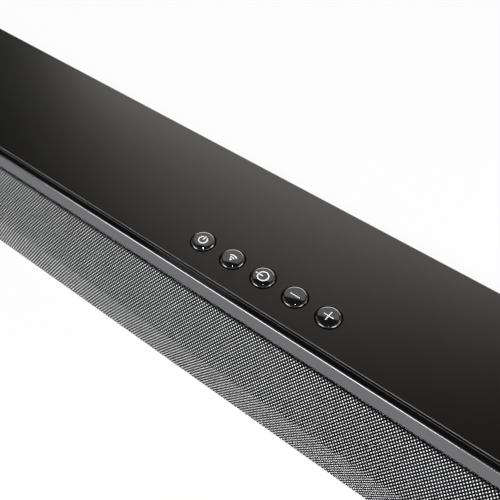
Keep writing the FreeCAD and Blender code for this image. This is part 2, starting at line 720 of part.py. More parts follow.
def cone_size():
    """Length and height of the cone's outer edge, inside the surround's roll."""
    length, height = surround_outer()
    return (length - 4 * SURROUND_ROLL, height - 4 * SURROUND_ROLL)


def cone_plug(shift):
    """The space inside the cone's flared surface, moved along its axis."""
    neck = (2 * COIL_RADIUS + CONE, 2 * COIL_RADIUS)
    return racetrack_loft(cone_size(), neck, (WOOFER_FLANGE - CONE_DEPTH + shift, WOOFER_FLANGE + shift))


def woofer_basket(side):
    """Pressed racetrack basket: a screwed rim, a tapering cup with windows and a floor for the magnet."""
    hole = (WOOFER_LENGTH - 2 * WOOFER_RIM - 2 * BASKET_FIT, WOOFER_HEIGHT - 2 * WOOFER_RIM - 2 * BASKET_FIT)
    rim = racetrack_plate(WOOFER_LENGTH, WOOFER_HEIGHT, (0, WOOFER_FLANGE))
    foot_size = (BASKET_FOOT + 2 * BASKET_WALL, hole[1] - 2 * BASKET_WALL)
    cup = racetrack_loft(hole, foot_size, (-BASKET_DEPTH, 0))
    inner_top = (hole[0] - 2 * BASKET_WALL, hole[1] - 2 * BASKET_WALL)
    inner_low = (BASKET_FOOT, foot_size[1] - 2 * BASKET_WALL)
    hollow = racetrack_loft(inner_top, inner_low, (-BASKET_DEPTH + BASKET_WALL, 0))
    mouth = racetrack_plate(inner_top[0], inner_top[1], (0, WOOFER_FLANGE))
    coil_hole = post(0, 0, (-BASKET_DEPTH, 2 * BASKET_WALL - BASKET_DEPTH), COIL_RADIUS + COIL_GAP)
    count = int((WOOFER_LENGTH - WOOFER_HEIGHT) // BASKET_WINDOW_PITCH)
    windows = []
    for index in range(count):
        x = (index - (count - 1) / 2) * BASKET_WINDOW_PITCH
        windows.append(box((x - BASKET_WINDOW / 2, x + BASKET_WINDOW / 2), (-WOOFER_HEIGHT, WOOFER_HEIGHT),
                           (BASKET_SILL - BASKET_DEPTH, -BAFFLE - BASKET_WALL)))
    screws = [post(x, y, (0, WOOFER_FLANGE), SMALL_SCREW_RADIUS) for x, y in woofer_screws()]
    basket = cut_all(join([rim, cup]), [hollow, mouth, coil_hole] + windows + screws)
    return on_baffle(basket, side * WOOFER_X)


def woofer_magnet(side):
    """Ring magnet between a front plate and a back plate whose pole stands inside the coil."""
    top = -BASKET_DEPTH
    low = top - MAGNET_DEPTH
    gap_radius = COIL_RADIUS + COIL_GAP
    pole_radius = COIL_RADIUS - COIL - COIL_GAP
    ring_radius = gap_radius + MAGNET_RING_GAP
    plate_under = top - POLE_PLATE
    back_top = low + POLE_PLATE
    points = [(0, low), (MAGNET_RADIUS, low), (MAGNET_RADIUS, top), (gap_radius, top),
              (gap_radius, plate_under), (ring_radius, plate_under), (ring_radius, back_top),
              (pole_radius, back_top), (pole_radius, top), (0, top)]
    return on_baffle(revolved(points), side * WOOFER_X)


def woofer_cone(side):
    """The paper cone, flaring from the coil to a racetrack edge, with its dust cap."""
    shell = cone_plug(0).cut(cone_plug(CONE))
    neck_hole = post(0, 0, (WOOFER_FLANGE - CONE_DEPTH, WOOFER_FLANGE), COIL_RADIUS - COIL)
    shell = shell.cut(neck_hole)
    cap_z = WOOFER_FLANGE - CONE_DEPTH + DUST_CAP_SEAT
    cap = dome_shell(COIL_RADIUS + DUST_CAP_OVERLAP, DUST_CAP_RISE, CONE, cap_z).common(cone_plug(CONE))
    return on_baffle(join([shell, cap]), side * WOOFER_X)


def voice_coil(side):
    """The coil on its former, glued under the cone's neck and standing in the magnet's gap."""
    top = WOOFER_FLANGE - CONE_DEPTH
    coil = post(0, 0, (top - COIL_LENGTH, top), COIL_RADIUS)
    bore = post(0, 0, (top - COIL_LENGTH, top), COIL_RADIUS - COIL)
    return on_baffle(coil.cut(bore), side * WOOFER_X)


def woofer_surround(side):
    """The rubber half-roll between the cone's edge and the basket's rim."""
    length, height = surround_outer()
    z = WOOFER_FLANGE
    centre_line = racetrack(length - 2 * SURROUND_ROLL, height - 2 * SURROUND_ROLL, z)
    start = Vector((length - height) / 2, height / 2 - SURROUND_ROLL, z)
    shells = []
    for radius in (SURROUND_ROLL, SURROUND_ROLL - SURROUND):
        ends = [start + Vector(0, -radius, 0), start + Vector(0, radius, 0)]
        arc = Part.Arc(ends[0], start + Vector(0, 0, radius), ends[1]).toShape()
        section = Part.Wire([arc, Part.makeLine(ends[1], ends[0])])
        shells.append(centre_line.makePipeShell([section], True, False, 1))
    return on_baffle(shells[0].cut(shells[1]), side * WOOFER_X)


def tweeter_body(side):
    """Tweeter: a faceplate with a shallow horn, and the motor's can behind it."""
    floor_radius = DOME_RADIUS + HORN_FLOOR_EDGE
    points = [(0, -TWEETER_BODY), (TWEETER_BODY_RADIUS, -TWEETER_BODY), (TWEETER_BODY_RADIUS, 0),
              (TWEETER_RADIUS, 0), (TWEETER_RADIUS, TWEETER_FLANGE),
              (floor_radius + HORN_FLARE, TWEETER_FLANGE), (floor_radius, -HORN_DEPTH), (0, -HORN_DEPTH)]
    body = revolved(points)
    screws = [post(x, y, (0, TWEETER_FLANGE), SMALL_SCREW_RADIUS) for x, y in tweeter_screws()]
    return on_baffle(cut_all(body, screws), side * TWEETER_X)


def tweeter_dome(side):
    """The tweeter's dome with its flat edge, free to move a little in front of the motor."""
    z = 2 * DOME_TRAVEL - HORN_DEPTH
    dome = dome_shell(DOME_RADIUS, DOME_RISE, DOME, z)
    inner = DOME_RADIUS - DOME
    outer = DOME_RADIUS + DOME_EDGE
    edge = revolved([(inner, z), (outer, z), (outer, z + DOME), (inner, z + DOME)])
    return on_baffle(join([dome, edge]), side * TWEETER_X)


def bass_port(side):
    """The tube that lets the chamber breathe, flared at the rear panel."""
    flare = PORT_RADIUS + PORT_FLARE
    points = [(PORT_RADIUS, 0), (PORT_RADIUS, PORT_LENGTH - 2 * PORT_FLARE), (flare, PORT_LENGTH),
              (flare + PORT_WALL, PORT_LENGTH), (PORT_RADIUS + PORT_WALL, PORT_LENGTH - 2 * PORT_FLARE),
              (PORT_RADIUS + PORT_WALL, 0)]
    tube = revolved(points)
    tube.rotate(Vector(0, 0, 0), Vector(1, 0, 0), -90)
    tube.translate(Vector(side * X_PORT, Y_REAR - PORT_LENGTH, PORT_HEIGHT))
    return tube


# ---------------------------------------------------------------- buttons
def crown_z(z_top, radius):
    """Height of a button's crowned top at a radius from its middle."""
    return z_top - BUTTON_CROWN_RADIUS + math.sqrt(BUTTON_CROWN_RADIUS ** 2 - radius ** 2)


def button_cap(x):
    """A gloss cap with a crowned top and a rounded edge, a retaining flange under the deck and a stem."""
    radius = BUTTON_HOLE_RADIUS - BUTTON_GAP
    z_top = Z_DECK + BUTTON_PROUD
    z_rim = crown_z(z_top, radius)
    middle = Vector(0, 0, z_top)
    rim = Vector(radius, 0, z_rim)
    crown = Part.Arc(rim, Vector(radius / 2, 0, crown_z(z_top, radius / 2)), middle)
    sides = Part.makePolygon([middle, Vector(0, 0, Z_FLANGE), Vector(radius, 0, Z_FLANGE), rim])
    half_section = Part.Face(Part.Wire(sides.Edges + [crown.toShape()]))
    cap = half_section.revolve(Vector(0, 0, 0), Vector(0, 0, 1), 360)
    rims = [edge for edge in cap.Edges
            if edge.BoundBox.ZMin > z_rim - SAME and edge.BoundBox.ZLength < SAME]
    cap = cap.makeFillet(BUTTON_ROUND, rims)
    cap.translate(Vector(x, Y_BUTTONS, 0))
    flange = post(x, Y_BUTTONS, (Z_STEM_TOP, Z_FLANGE), BUTTON_FLANGE_RADIUS)
    stem = post(x, Y_BUTTONS, (Z_STEM, Z_STEM_TOP), STEM_RADIUS)
    return join([cap, flange, stem])


def switch_plunger(x):
    """The switch's own plunger, which the button's stem stands on."""
    return post(x, Y_BUTTONS, (Z_SWITCH_TOP - BUTTON_TRAVEL, Z_STEM), PLUNGER_RADIUS)


def switch_housing(x):
    """The square body of a tactile switch, soldered to the button board."""
    half = SWITCH_SIZE / 2
    body = box((x - half, x + half), (Y_BUTTONS - half, Y_BUTTONS + half), (Z_BUTTON_BOARD_TOP, Z_SWITCH_TOP))
    well = post(x, Y_BUTTONS, (Z_SWITCH_TOP - PLUNGER_WELL, Z_SWITCH_TOP), PLUNGER_RADIUS + STEM_GAP)
    return body.cut(well)


def button_guide():
    """A tray under the deck that guides the stems and carries the button board on posts."""
    in_x = guide_half_length() - GUIDE_WALL
    in_y = BUTTON_FLANGE_RADIUS + GUIDE_MARGIN / 2
    out_y = in_y + GUIDE_WALL
    hollow = box((-in_x, in_x), (Y_BUTTONS - in_y, Y_BUTTONS + in_y), (Z_GUIDE_TOP, Z_UNDER_DECK))
    tray = box((-guide_half_length(), guide_half_length()), (Y_BUTTONS - out_y, Y_BUTTONS + out_y),
               (Z_GUIDE, Z_UNDER_DECK))
    post_z = (Z_BUTTON_BOARD_TOP, Z_GUIDE)
    posts = [post(x, Y_BUTTONS, post_z, 2 * SMALL_SCREW_RADIUS) for x in guide_screw_x()]
    holes = [post(x, Y_BUTTONS, (Z_GUIDE, Z_GUIDE_TOP), STEM_RADIUS + STEM_GAP) for x in button_x()]
    pilots = [post(x, Y_BUTTONS, post_z, SMALL_SCREW_RADIUS) for x in guide_screw_x()]
    return cut_all(join([tray.cut(hollow)] + posts), holes + pilots)


def button_board():
    """The narrow circuit board under the buttons."""
    half_x = guide_half_length()
    half_y = BUTTON_BOARD_DEPTH / 2
    z_range = (Z_BUTTON_BOARD, Z_BUTTON_BOARD_TOP)
    board = box((-half_x, half_x), (Y_BUTTONS - half_y, Y_BUTTONS + half_y), z_range)
    holes = [post(x, Y_BUTTONS, z_range, SMALL_SCREW_RADIUS) for x in guide_screw_x()]
    return cut_all(board, holes)


def button_board_screw(x):
    """A screw that holds the button board up against the guide's post."""
    head = post(x, Y_BUTTONS, (Z_BUTTON_BOARD - SMALL_HEAD, Z_BUTTON_BOARD), SMALL_HEAD_RADIUS)
    shank = post(x, Y_BUTTONS, (Z_BUTTON_BOARD, Z_GUIDE - GUIDE_WALL), SMALL_SCREW_RADIUS)
    return join([head, shank])


# ---------------------------------------------------------------- electronics
def circuit_board(side):
    """A board on four standoffs: the main board at the right, the power supply at the left."""
    half = BOARD_LENGTH / 2
    board = box((side * BOARD_X - half, side * BOARD_X + half), (Y_BOARD_REAR - BOARD_DEPTH, Y_BOARD_REAR),
                (Z_BOARD, Z_BOARD_TOP))
    holes = [post(x, y, (Z_BOARD, Z_BOARD_TOP), SMALL_SCREW_RADIUS) for x, y in board_screw_places(side)]
    return cut_all(board, holes)


def board_screw(x, y):
    """A screw through a board's corner into its standoff."""
    head = post(x, y, (Z_BOARD_TOP, Z_BOARD_TOP + SMALL_HEAD), SMALL_HEAD_RADIUS)
    shank = post(x, y, (Z_FLOOR_TOP + FIT_GAP, Z_BOARD_TOP), SMALL_SCREW_RADIUS)
    return join([head, shank])


def on_board(place, size, side, lift=0.0):
    """A block that stands on a board, at a place given from the board's middle."""
    x = side * BOARD_X + place[0]
    y = Y_BOARD_REAR - BOARD_DEPTH / 2 + place[1]
    return box((x - size[0] / 2, x + size[0] / 2), (y - size[1] / 2, y + size[1] / 2),
               (Z_BOARD_TOP + lift, Z_BOARD_TOP + lift + size[2]))


def heat_sink():
    """An extruded aluminium sink whose base rests on the amplifier chip, with upright fins."""
    block = on_board(AMPLIFIER_PLACE, HEAT_SINK, 1, AMPLIFIER[2])
    extent = block.BoundBox
    gap = (HEAT_SINK[0] - FIN_COUNT * FIN) / (FIN_COUNT - 1)
    slots = []
    for index in range(FIN_COUNT - 1):
        x = extent.XMin + FIN + index * (FIN + gap)
        slots.append(box((x, x + gap), (extent.YMin, extent.YMax), (extent.ZMin + SINK_BASE, extent.ZMax)))
    return cut_all(block, slots)


def board_capacitor(index):
    """A small can capacitor on the main board."""
    x = BOARD_X + CAPACITOR_START + index * (2 * CAPACITOR_RADIUS + CAPACITOR_SPACE)
    y = Y_BOARD_REAR - BOARD_DEPTH + 2 * CAPACITOR_RADIUS
    return post(x, y, (Z_BOARD_TOP, Z_BOARD_TOP + CAPACITOR_HEIGHT), CAPACITOR_RADIUS)


def supply_capacitor(index):
    """A large can capacitor on the power supply board."""
    x = -BOARD_X + SUPPLY_CAPACITOR_START + index * (2 * SUPPLY_CAPACITOR_RADIUS + SUPPLY_CAPACITOR_SPACE)
    y = Y_BOARD_REAR - BOARD_DEPTH / 2
    return post(x, y, (Z_BOARD_TOP, Z_BOARD_TOP + SUPPLY_CAPACITOR_HEIGHT), SUPPLY_CAPACITOR_RADIUS)


def mains_transformer():
    """The supply's transformer: a ferrite core with a taped winding through it."""
    core = on_board(TRANSFORMER_PLACE, TRANSFORMER, -1)
    lift = (TRANSFORMER[2] - TRANSFORMER_WINDING[2]) / 2
    winding = on_board(TRANSFORMER_PLACE, TRANSFORMER_WINDING, -1, lift)
    return join([core, winding])


# ---------------------------------------------------------------- rear bays and sockets
def socket_block(x, size, length):
    """The block of a socket that stands on its board and comes through the bay's inner wall."""
    y_face = Y_BAY + SOCKET_PROUD
    half = size[0] / 2
    return box((x - half, x + half), (y_face - length, y_face), (Z_BOARD_TOP, Z_BOARD_TOP + size[1]))


def socket_cavity(x, size, depth, shell):
    """The hollow of a socket, open to the rear, inside walls of the given thickness."""
    y_face = Y_BAY + SOCKET_PROUD
    return box((x - size[0] / 2 + shell, x + size[0] / 2 - shell), (y_face - depth, y_face),
               (Z_BOARD_TOP + shell, Z_BOARD_TOP + size[1] - shell))


def bay_panel(width, centre, sockets):
    """A full-height piece of the back with a recess: its inner wall lets the sockets through."""
    half = width / 2 + BAY_WALL
    z_high = Z_BAY + BAY_HEIGHT + 2 * BAY_WALL
    plate = box((centre - BOARD_X, centre + BOARD_X), (Y_REAR_WALL, Y_REAR), (Z_FLOOR_TOP, Z_UNDER_DECK))
    shell = box((centre - half, centre + half), (Y_BAY - BAY_WALL, Y_REAR), (Z_BAY, z_high))
    hollow = box((centre - width / 2, centre + width / 2), (Y_BAY, Y_REAR),
                 (Z_BAY + BAY_WALL, z_high - BAY_WALL))
    holes = []
    for x, size in sockets:
        holes.append(box((x - size[0] / 2 - FIT_GAP, x + size[0] / 2 + FIT_GAP), (Y_BAY - BAY_WALL, Y_BAY),
                         (Z_BOARD_TOP - FIT_GAP, Z_BOARD_TOP + size[1] + FIT_GAP)))
    return cut_all(join([plate, shell]), [hollow] + holes)


def video_socket():
    """A flat digital socket: a folded metal shell around a contact tongue."""
    x = BOARD_X + SOCKET_X["video"]
    block = socket_block(x, VIDEO_SOCKET, SOCKET_LENGTH)
    return block.cut(socket_cavity(x, VIDEO_SOCKET, SOCKET_LENGTH - VIDEO_BACK, SOCKET_SHELL))


def optical_socket():
    """The square socket of the optical lead, with its lens at the bottom of the hollow."""
    x = BOARD_X + SOCKET_X["optical"]
    block = socket_block(x, OPTICAL_SOCKET, SOCKET_LENGTH)
    return block.cut(socket_cavity(x, OPTICAL_SOCKET, SOCKET_LENGTH - OPTICAL_BACK, 2 * SOCKET_SHELL))


def line_in_jack():
    """The round jack for a 3.5 mm plug."""
    x = BOARD_X + SOCKET_X["jack"]
    block = socket_block(x, JACK_SOCKET, SOCKET_LENGTH)
    y_face = Y_BAY + SOCKET_PROUD
    y_range = (y_face - SOCKET_LENGTH + JACK_BACK, y_face)
    return block.cut(rod_y(x, Z_BOARD_TOP + JACK_SOCKET[1] / 2, y_range, JACK_BORE))


def inlet_pins():
    """The two pins of the power inlet."""
    y_back = Y_BAY + SOCKET_PROUD - INLET_CAVITY_DEPTH
    y_range = (y_back, y_back + INLET_CAVITY_DEPTH - INLET_PIN_SHORT)
    z = Z_BOARD_TOP + INLET_SOCKET[1] / 2
    reach = INLET_PIN_PITCH / 2
    return [rod_y(x, z, y_range, INLET_PIN_RADIUS) for x in (-BOARD_X - reach, -BOARD_X + reach)]


def power_inlet():
    """The two-pin inlet's body, with a hollow whose ends are half round."""
    block = socket_block(-BOARD_X, INLET_SOCKET, INLET_LENGTH)
    cavity = racetrack_plate(INLET_CAVITY[0], INLET_CAVITY[1], (0, INLET_CAVITY_DEPTH))
    cavity.rotate(Vector(0, 0, 0), Vector(1, 0, 0), 90)
    cavity.translate(Vector(-BOARD_X, Y_BAY + SOCKET_PROUD, Z_BOARD_TOP + INLET_SOCKET[1] / 2))
    return block.cut(cavity)


# ---------------------------------------------------------------- the whole bar
def all_nodes():
    """Every node's name with its list of solids."""
    sides = {"left": -1, "right": 1}
    sockets = [(BOARD_X + SOCKET_X["video"], VIDEO_SOCKET), (BOARD_X + SOCKET_X["optical"], OPTICAL_SOCKET),
               (BOARD_X + SOCKET_X["jack"], JACK_SOCKET)]
    nodes = {
        "bottom_cabinet": [bottom_cabinet()],
        "rear_side_panels": both_sides(rear_side_panel),
        "top_panel": [top_panel()],
        "front_bezel": [front_bezel()],
        "trim_strip": [trim_strip()],
        "front_baffle": [front_baffle()],
        "grille_frame": [grille_frame()],
        "grille_cloth": [grille_cloth()],
        "case_screws": [case_screw(x, y) for x, y in case_posts()],
        "rubber_feet": [foot(x, y) for x, y in foot_places()],
        "wall_hanger_plates": both_sides(hanger_plate),
        "bracket_inserts": both_sides(bracket_insert),
        "bass_ports": both_sides(bass_port),
        "woofer_baskets": both_sides(woofer_basket),
        "woofer_magnets": both_sides(woofer_magnet),
        "tweeter_bodies": both_sides(tweeter_body),
        "driver_screws": driver_screws(),
        "button_guide": [button_guide()],
        "button_board": [button_board()],
        "button_switches": [switch_housing(x) for x in button_x()],
        "button_board_screws": [button_board_screw(x) for x in guide_screw_x()],
        "main_board": [circuit_board(1)],
        "power_supply_board": [circuit_board(-1)],
        "board_screws": [board_screw(x, y) for side in (-1, 1) for x, y in board_screw_places(side)],
        "amplifier_chip": [on_board(AMPLIFIER_PLACE, AMPLIFIER, 1)],
        "heat_sink": [heat_sink()],
        "processor_chip": [on_board(PROCESSOR_PLACE, PROCESSOR, 1)],
        "wireless_module": [on_board(WIRELESS_PLACE, WIRELESS, 1)],
        "board_capacitors": [board_capacitor(index) for index in range(CAPACITOR_COUNT)],
        "mains_transformer": [mains_transformer()],
        "supply_capacitors": [supply_capacitor(index) for index in range(SUPPLY_CAPACITOR_COUNT)],
        "socket_panel": [bay_panel(SOCKET_BAY_WIDTH, BOARD_X, sockets)],
        "power_panel": [bay_panel(POWER_BAY_WIDTH, -BOARD_X, [(-BOARD_X, INLET_SOCKET)])],
        "video_socket": [video_socket()],
        "optical_socket": [optical_socket()],
        "line_in_jack": [line_in_jack()],
        "power_inlet": [power_inlet()],
        "power_inlet_pins": inlet_pins(),
    }
    for name, side in sides.items():
        nodes[name + "_end_cap"] = [end_cap(side)]
        nodes[name + "_woofer_cone"] = [woofer_cone(side)]
        nodes[name + "_voice_coil"] = [voice_coil(side)]
        nodes[name + "_woofer_surround"] = [woofer_surround(side)]
        nodes[name + "_tweeter_dome"] = [tweeter_dome(side)]
    for name, x in zip(BUTTON_NAMES, button_x()):
        nodes[name + "_button"] = [button_cap(x)]
        nodes[name + "_switch_plunger"] = [switch_plunger(x)]
    return nodes


def driver_screws():
    """All the screws of woofers and tweeters."""
    screws = []
    for side in (-1, 1):
        screws += [driver_screw(side * WOOFER_X, place, WOOFER_FLANGE) for place in woofer_screws()]
        screws += [driver_screw(side * TWEETER_X, place, TWEETER_FLANGE) for place in tweeter_screws()]
    return screws


os.makedirs("parts", exist_ok=True)
for node, solids in all_nodes().items():
    shape = solids[0] if len(solids) == 1 else Part.makeCompound(solids)
    shape.exportStep("parts/" + node + ".step")
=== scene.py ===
"""Finishes and fine pieces of a slim soundbar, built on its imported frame.

Lengths are in metres. X runs along the bar, -Y is its front and +Z is up.
The sections follow the bar as it is put together: deck, front, buttons, case, fixings, drivers,
boards and sockets.
"""

import math

import bpy
import numpy as np
from mathutils import Matrix, Vector


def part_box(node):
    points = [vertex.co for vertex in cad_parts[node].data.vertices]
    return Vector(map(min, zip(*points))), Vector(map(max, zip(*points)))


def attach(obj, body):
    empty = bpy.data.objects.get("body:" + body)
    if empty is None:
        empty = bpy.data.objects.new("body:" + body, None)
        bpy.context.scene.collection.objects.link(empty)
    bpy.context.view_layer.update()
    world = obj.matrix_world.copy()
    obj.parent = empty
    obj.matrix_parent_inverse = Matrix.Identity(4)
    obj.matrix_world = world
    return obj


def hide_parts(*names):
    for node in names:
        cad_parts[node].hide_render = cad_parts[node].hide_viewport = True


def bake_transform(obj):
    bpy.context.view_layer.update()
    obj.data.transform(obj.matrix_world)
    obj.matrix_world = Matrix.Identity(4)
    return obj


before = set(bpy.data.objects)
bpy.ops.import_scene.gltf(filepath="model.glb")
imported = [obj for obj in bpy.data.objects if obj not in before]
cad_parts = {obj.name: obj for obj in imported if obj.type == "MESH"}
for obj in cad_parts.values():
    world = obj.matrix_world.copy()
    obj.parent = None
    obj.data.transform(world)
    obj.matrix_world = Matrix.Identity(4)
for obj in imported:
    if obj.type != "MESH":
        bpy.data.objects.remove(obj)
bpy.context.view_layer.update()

# ---- camera ----
# It looks down over the deck at the five buttons, from in front of the bar and to the right of them.
# Lens and sensor are in millimetres and angles in degrees.
DECK_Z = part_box("trim_strip")[1].z
LENS = 55.37
SENSOR_WIDTH = 36.0
CAMERA_FROM_POWER_BUTTON = Vector((0.1761, -0.1806, 0.2755))
CAMERA_YAW = 39.12
CAMERA_PITCH = 48.30
CAMERA_ROLL = -0.61


def middle(node):
    """Centre of a node's box."""
    low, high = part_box(node)
    return (low + high) / 2


camera_data = bpy.data.cameras.new("camera")
camera_data.lens = LENS
camera_data.sensor_width = SENSOR_WIDTH
camera = bpy.data.objects.new("camera", camera_data)
bpy.context.scene.collection.objects.link(camera)
power_middle = middle("power_button")
turned_camera = (Matrix.Rotation(math.radians(CAMERA_YAW), 4, "Z")
                 @ Matrix.Rotation(math.radians(90 - CAMERA_PITCH), 4, "X")
                 @ Matrix.Rotation(math.radians(CAMERA_ROLL), 4, "Z"))
stand = Vector((power_middle.x, power_middle.y, DECK_Z)) + CAMERA_FROM_POWER_BUTTON
camera.matrix_world = Matrix.Translation(stand) @ turned_camera
bpy.context.scene.camera = camera
bpy.context.scene.view_settings.view_transform = "Standard"

# ---- studio ----
# A pale floor, a room that is light at the horizon and dim overhead, and soft boxes round the bar.
# Each soft box: name, shape, place, the point it faces, width and height, tilt in degrees, radiance.
FLOOR_SIZE = 8.0
FLOOR_COLOUR = (0.88, 0.88, 0.88, 1.0)
FLOOR_GLOW_SHARE = 0.94
WHITE = (1.0, 1.0, 1.0, 1.0)
ROOM_HORIZON = 0.55
ROOM_OVERHEAD = 0.03
ROOM_TURNS_AT = (0.12, 0.52)
SOFT_BOXES = (
    ("rear_soft_box", "RECTANGLE", (-0.95, 1.30, 1.18), (-0.95, 0.0, 1.18), (1.90, 0.46), 0, 4.9),
    ("upper_panel", "RECTANGLE", (-1.11, 1.30, 1.88), (-1.11, 0.0, 1.88), (1.22, 0.76), 21, 0.66),
    ("key_lamp", "ELLIPSE", (0.62, -0.78, 0.98), (0.0, 0.0, 0.05), (0.22, 0.22), 0, 165.0),
    ("front_strip", "RECTANGLE", (-0.54, -1.40, 0.21), (0.0, 0.0, 0.05), (2.00, 0.20), 0, 6.5),
    ("right_strip", "RECTANGLE", (1.45, 0.17, 0.21), (0.0, 0.0, 0.05), (2.30, 0.20), 0, 6.5),
    ("edge_light", "RECTANGLE", (-0.58, -0.89, 1.04), (-0.58, -0.04, 0.06), (1.15, 0.26), 0, 1.7),
)


def link(tree, source, target):
    """Joins an output socket to an input socket."""
    tree.links.new(source, target)


def new_material(name):
    """An empty node material, its tree and its output node."""
    material = bpy.data.materials.new(name)
    material.use_nodes = True
    material.node_tree.nodes.clear()
    return material, material.node_tree, material.node_tree.nodes.new("ShaderNodeOutputMaterial")


def lift_for_background(tree, shader, out, share):
    """Mixes in a plain white glow that only camera and mirror rays see."""
    rays = tree.nodes.new("ShaderNodeLightPath")
    seen = tree.nodes.new("ShaderNodeMath")
    seen.operation = "MAXIMUM"
    link(tree, rays.outputs["Is Camera Ray"], seen.inputs[0])
    link(tree, rays.outputs["Is Glossy Ray"], seen.inputs[1])
    part = tree.nodes.new("ShaderNodeMath")
    part.operation = "MULTIPLY"
    part.inputs[1].default_value = share
    link(tree, seen.outputs[0], part.inputs[0])
    glow = tree.nodes.new("ShaderNodeEmission")
    glow.inputs["Color"].default_value = WHITE
    mixed = tree.nodes.new("ShaderNodeMixShader")
    link(tree, part.outputs[0], mixed.inputs[0])
    link(tree, shader, mixed.inputs[1])
    link(tree, glow.outputs[0], mixed.inputs[2])
    link(tree, mixed.outputs[0], out.inputs["Surface"])


half_floor = FLOOR_SIZE / 2
floor_mesh = bpy.data.meshes.new("floor")
floor_mesh.from_pydata([(-half_floor, -half_floor, 0), (half_floor, -half_floor, 0),
                        (half_floor, half_floor, 0), (-half_floor, half_floor, 0)], [], [(0, 1, 2, 3)])
floor = bpy.data.objects.new("floor", floor_mesh)
bpy.context.scene.collection.objects.link(floor)
floor_paper, paper_tree, paper_out = new_material("floor_paper")
paper = paper_tree.nodes.new("ShaderNodeBsdfDiffuse")
paper.inputs["Color"].default_value = FLOOR_COLOUR
lift_for_background(paper_tree, paper.outputs[0], paper_out, FLOOR_GLOW_SHARE)
floor_mesh.materials.append(floor_paper)

world = bpy.data.worlds.new("room")
bpy.context.scene.world = world
world.use_nodes = True
room = world.node_tree
room.nodes.clear()
room_out = room.nodes.new("ShaderNodeOutputWorld")
direction = room.nodes.new("ShaderNodeTexCoord")
height = room.nodes.new("ShaderNodeSeparateXYZ")
link(room, direction.outputs["Generated"], height.inputs[0])
fall = room.nodes.new("ShaderNodeMapRange")
fall.interpolation_type = "SMOOTHSTEP"
fall.inputs["From Min"].default_value = ROOM_TURNS_AT[0]
fall.inputs["From Max"].default_value = ROOM_TURNS_AT[1]
fall.inputs["To Min"].default_value = ROOM_HORIZON
fall.inputs["To Max"].default_value = ROOM_OVERHEAD
link(room, height.outputs["Z"], fall.inputs["Value"])
room_light = room.nodes.new("ShaderNodeBackground")
link(room, fall.outputs[0], room_light.inputs["Strength"])
room_white = room.nodes.new("ShaderNodeBackground")
room_white.inputs["Color"].default_value = WHITE
room_rays = room.nodes.new("ShaderNodeLightPath")
room_mix = room.nodes.new("ShaderNodeMixShader")
link(room, room_rays.outputs["Is Camera Ray"], room_mix.inputs[0])
link(room, room_light.outputs[0], room_mix.inputs[1])
link(room, room_white.outputs[0], room_mix.inputs[2])
link(room, room_mix.outputs[0], room_out.inputs["Surface"])

for box_name, shape, place, faces_to, box_size, tilt, radiance in SOFT_BOXES:
    lamp = bpy.data.lights.new(box_name, "AREA")
    lamp.shape = shape
    lamp.size = box_size[0]
    lamp.size_y = box_size[1]
    lit_share = math.pi / 4 if shape == "ELLIPSE" else 1.0
    lamp.energy = radiance * math.pi * lit_share * box_size[0] * box_size[1]
    soft_box = bpy.data.objects.new(box_name, lamp)
    bpy.context.scene.collection.objects.link(soft_box)
    soft_box.location = place
    facing = (Vector(faces_to) - Vector(place)).to_track_quat("-Z", "Y").to_matrix()
    soft_box.rotation_euler = (facing @ Matrix.Rotation(math.radians(tilt), 3, "Z")).to_euler()
    soft_box.visible_camera = False

# ---- deck ----
# One long injection-moulded panel under satin black paint, with a very fine grain and the faint
# cloudiness that handling leaves. Its edge along the groove carries a painted highlight, a thin band
# of bright metal, and round each button's hole lies a dark ring of painted shade.
DECK_BLACK = (0.0028, 0.0026, 0.0023, 1.0)
DECK_CLOUD = (0.0040, 0.0037, 0.0034, 1.0)
DECK_EDGE_HIGHLIGHT = (0.42, 0.42, 0.43, 1.0)
DECK_EDGE_ROUND = 0.00035
DECK_TINT = (1.0, 0.96, 0.90, 1.0)
BLACK = (0.0, 0.0, 0.0, 1.0)
BUTTONS = ("power", "pairing", "source", "volume_down", "volume_up")
HOLE_PITCH = middle("pairing_button").x - power_middle.x
HOLE_SHADE_RADIUS = 0.00655
HOLE_SHADE_SOFT = 0.0001
GRAIN_DETAIL = 3.0
CLOUD_DETAIL = 4.0
CLOUD_EDGES = (0.35, 0.70)


def node_group(name, inputs, outputs):
    """A shader group with named number inputs and outputs; returns the group and its two end nodes."""
    group = bpy.data.node_groups.new(name, "ShaderNodeTree")
    for label, value in inputs:
        socket = group.interface.new_socket(label, in_out="INPUT", socket_type="NodeSocketFloat")
        socket.default_value = value
    for label in outputs:
        group.interface.new_socket(label, in_out="OUTPUT", socket_type="NodeSocketFloat")
    return group, group.nodes.new("NodeGroupInput"), group.nodes.new("NodeGroupOutput")


def use_group(tree, group, values):
    """Puts a group into a material with its own values; returns the node."""
    node = tree.nodes.new("ShaderNodeGroup")
    node.node_tree = group
    for label, value in values.items():
        node.inputs[label].default_value = value
    return node


def fill(tree, socket, value):
    """Gives an input a number, a colour or another socket's output."""
    if isinstance(value, bpy.types.NodeSocket):
        link(tree, value, socket)
    else:
        socket.default_value = value


def arithmetic(tree, operation, first, second=0.0):
    """A Math node; each operand is a socket or a number. Returns its output."""
    node = tree.nodes.new("ShaderNodeMath")
    node.operation = operation
    fill(tree, node.inputs[0], first)
    fill(tree, node.inputs[1], second)
    return node.outputs[0]


def times(tree, first, second):
    """The product of two sockets or numbers."""
    return arithmetic(tree, "MULTIPLY", first, second)


def clouds(tree, vector, scale, detail=2.0):
    """A Noise texture's value; scale is a socket or a number of patches per metre."""
    noise = tree.nodes.new("ShaderNodeTexNoise")
    noise.inputs["Detail"].default_value = detail
    link(tree, vector, noise.inputs["Vector"])
    fill(tree, noise.inputs["Scale"], scale)
    return noise.outputs[0]


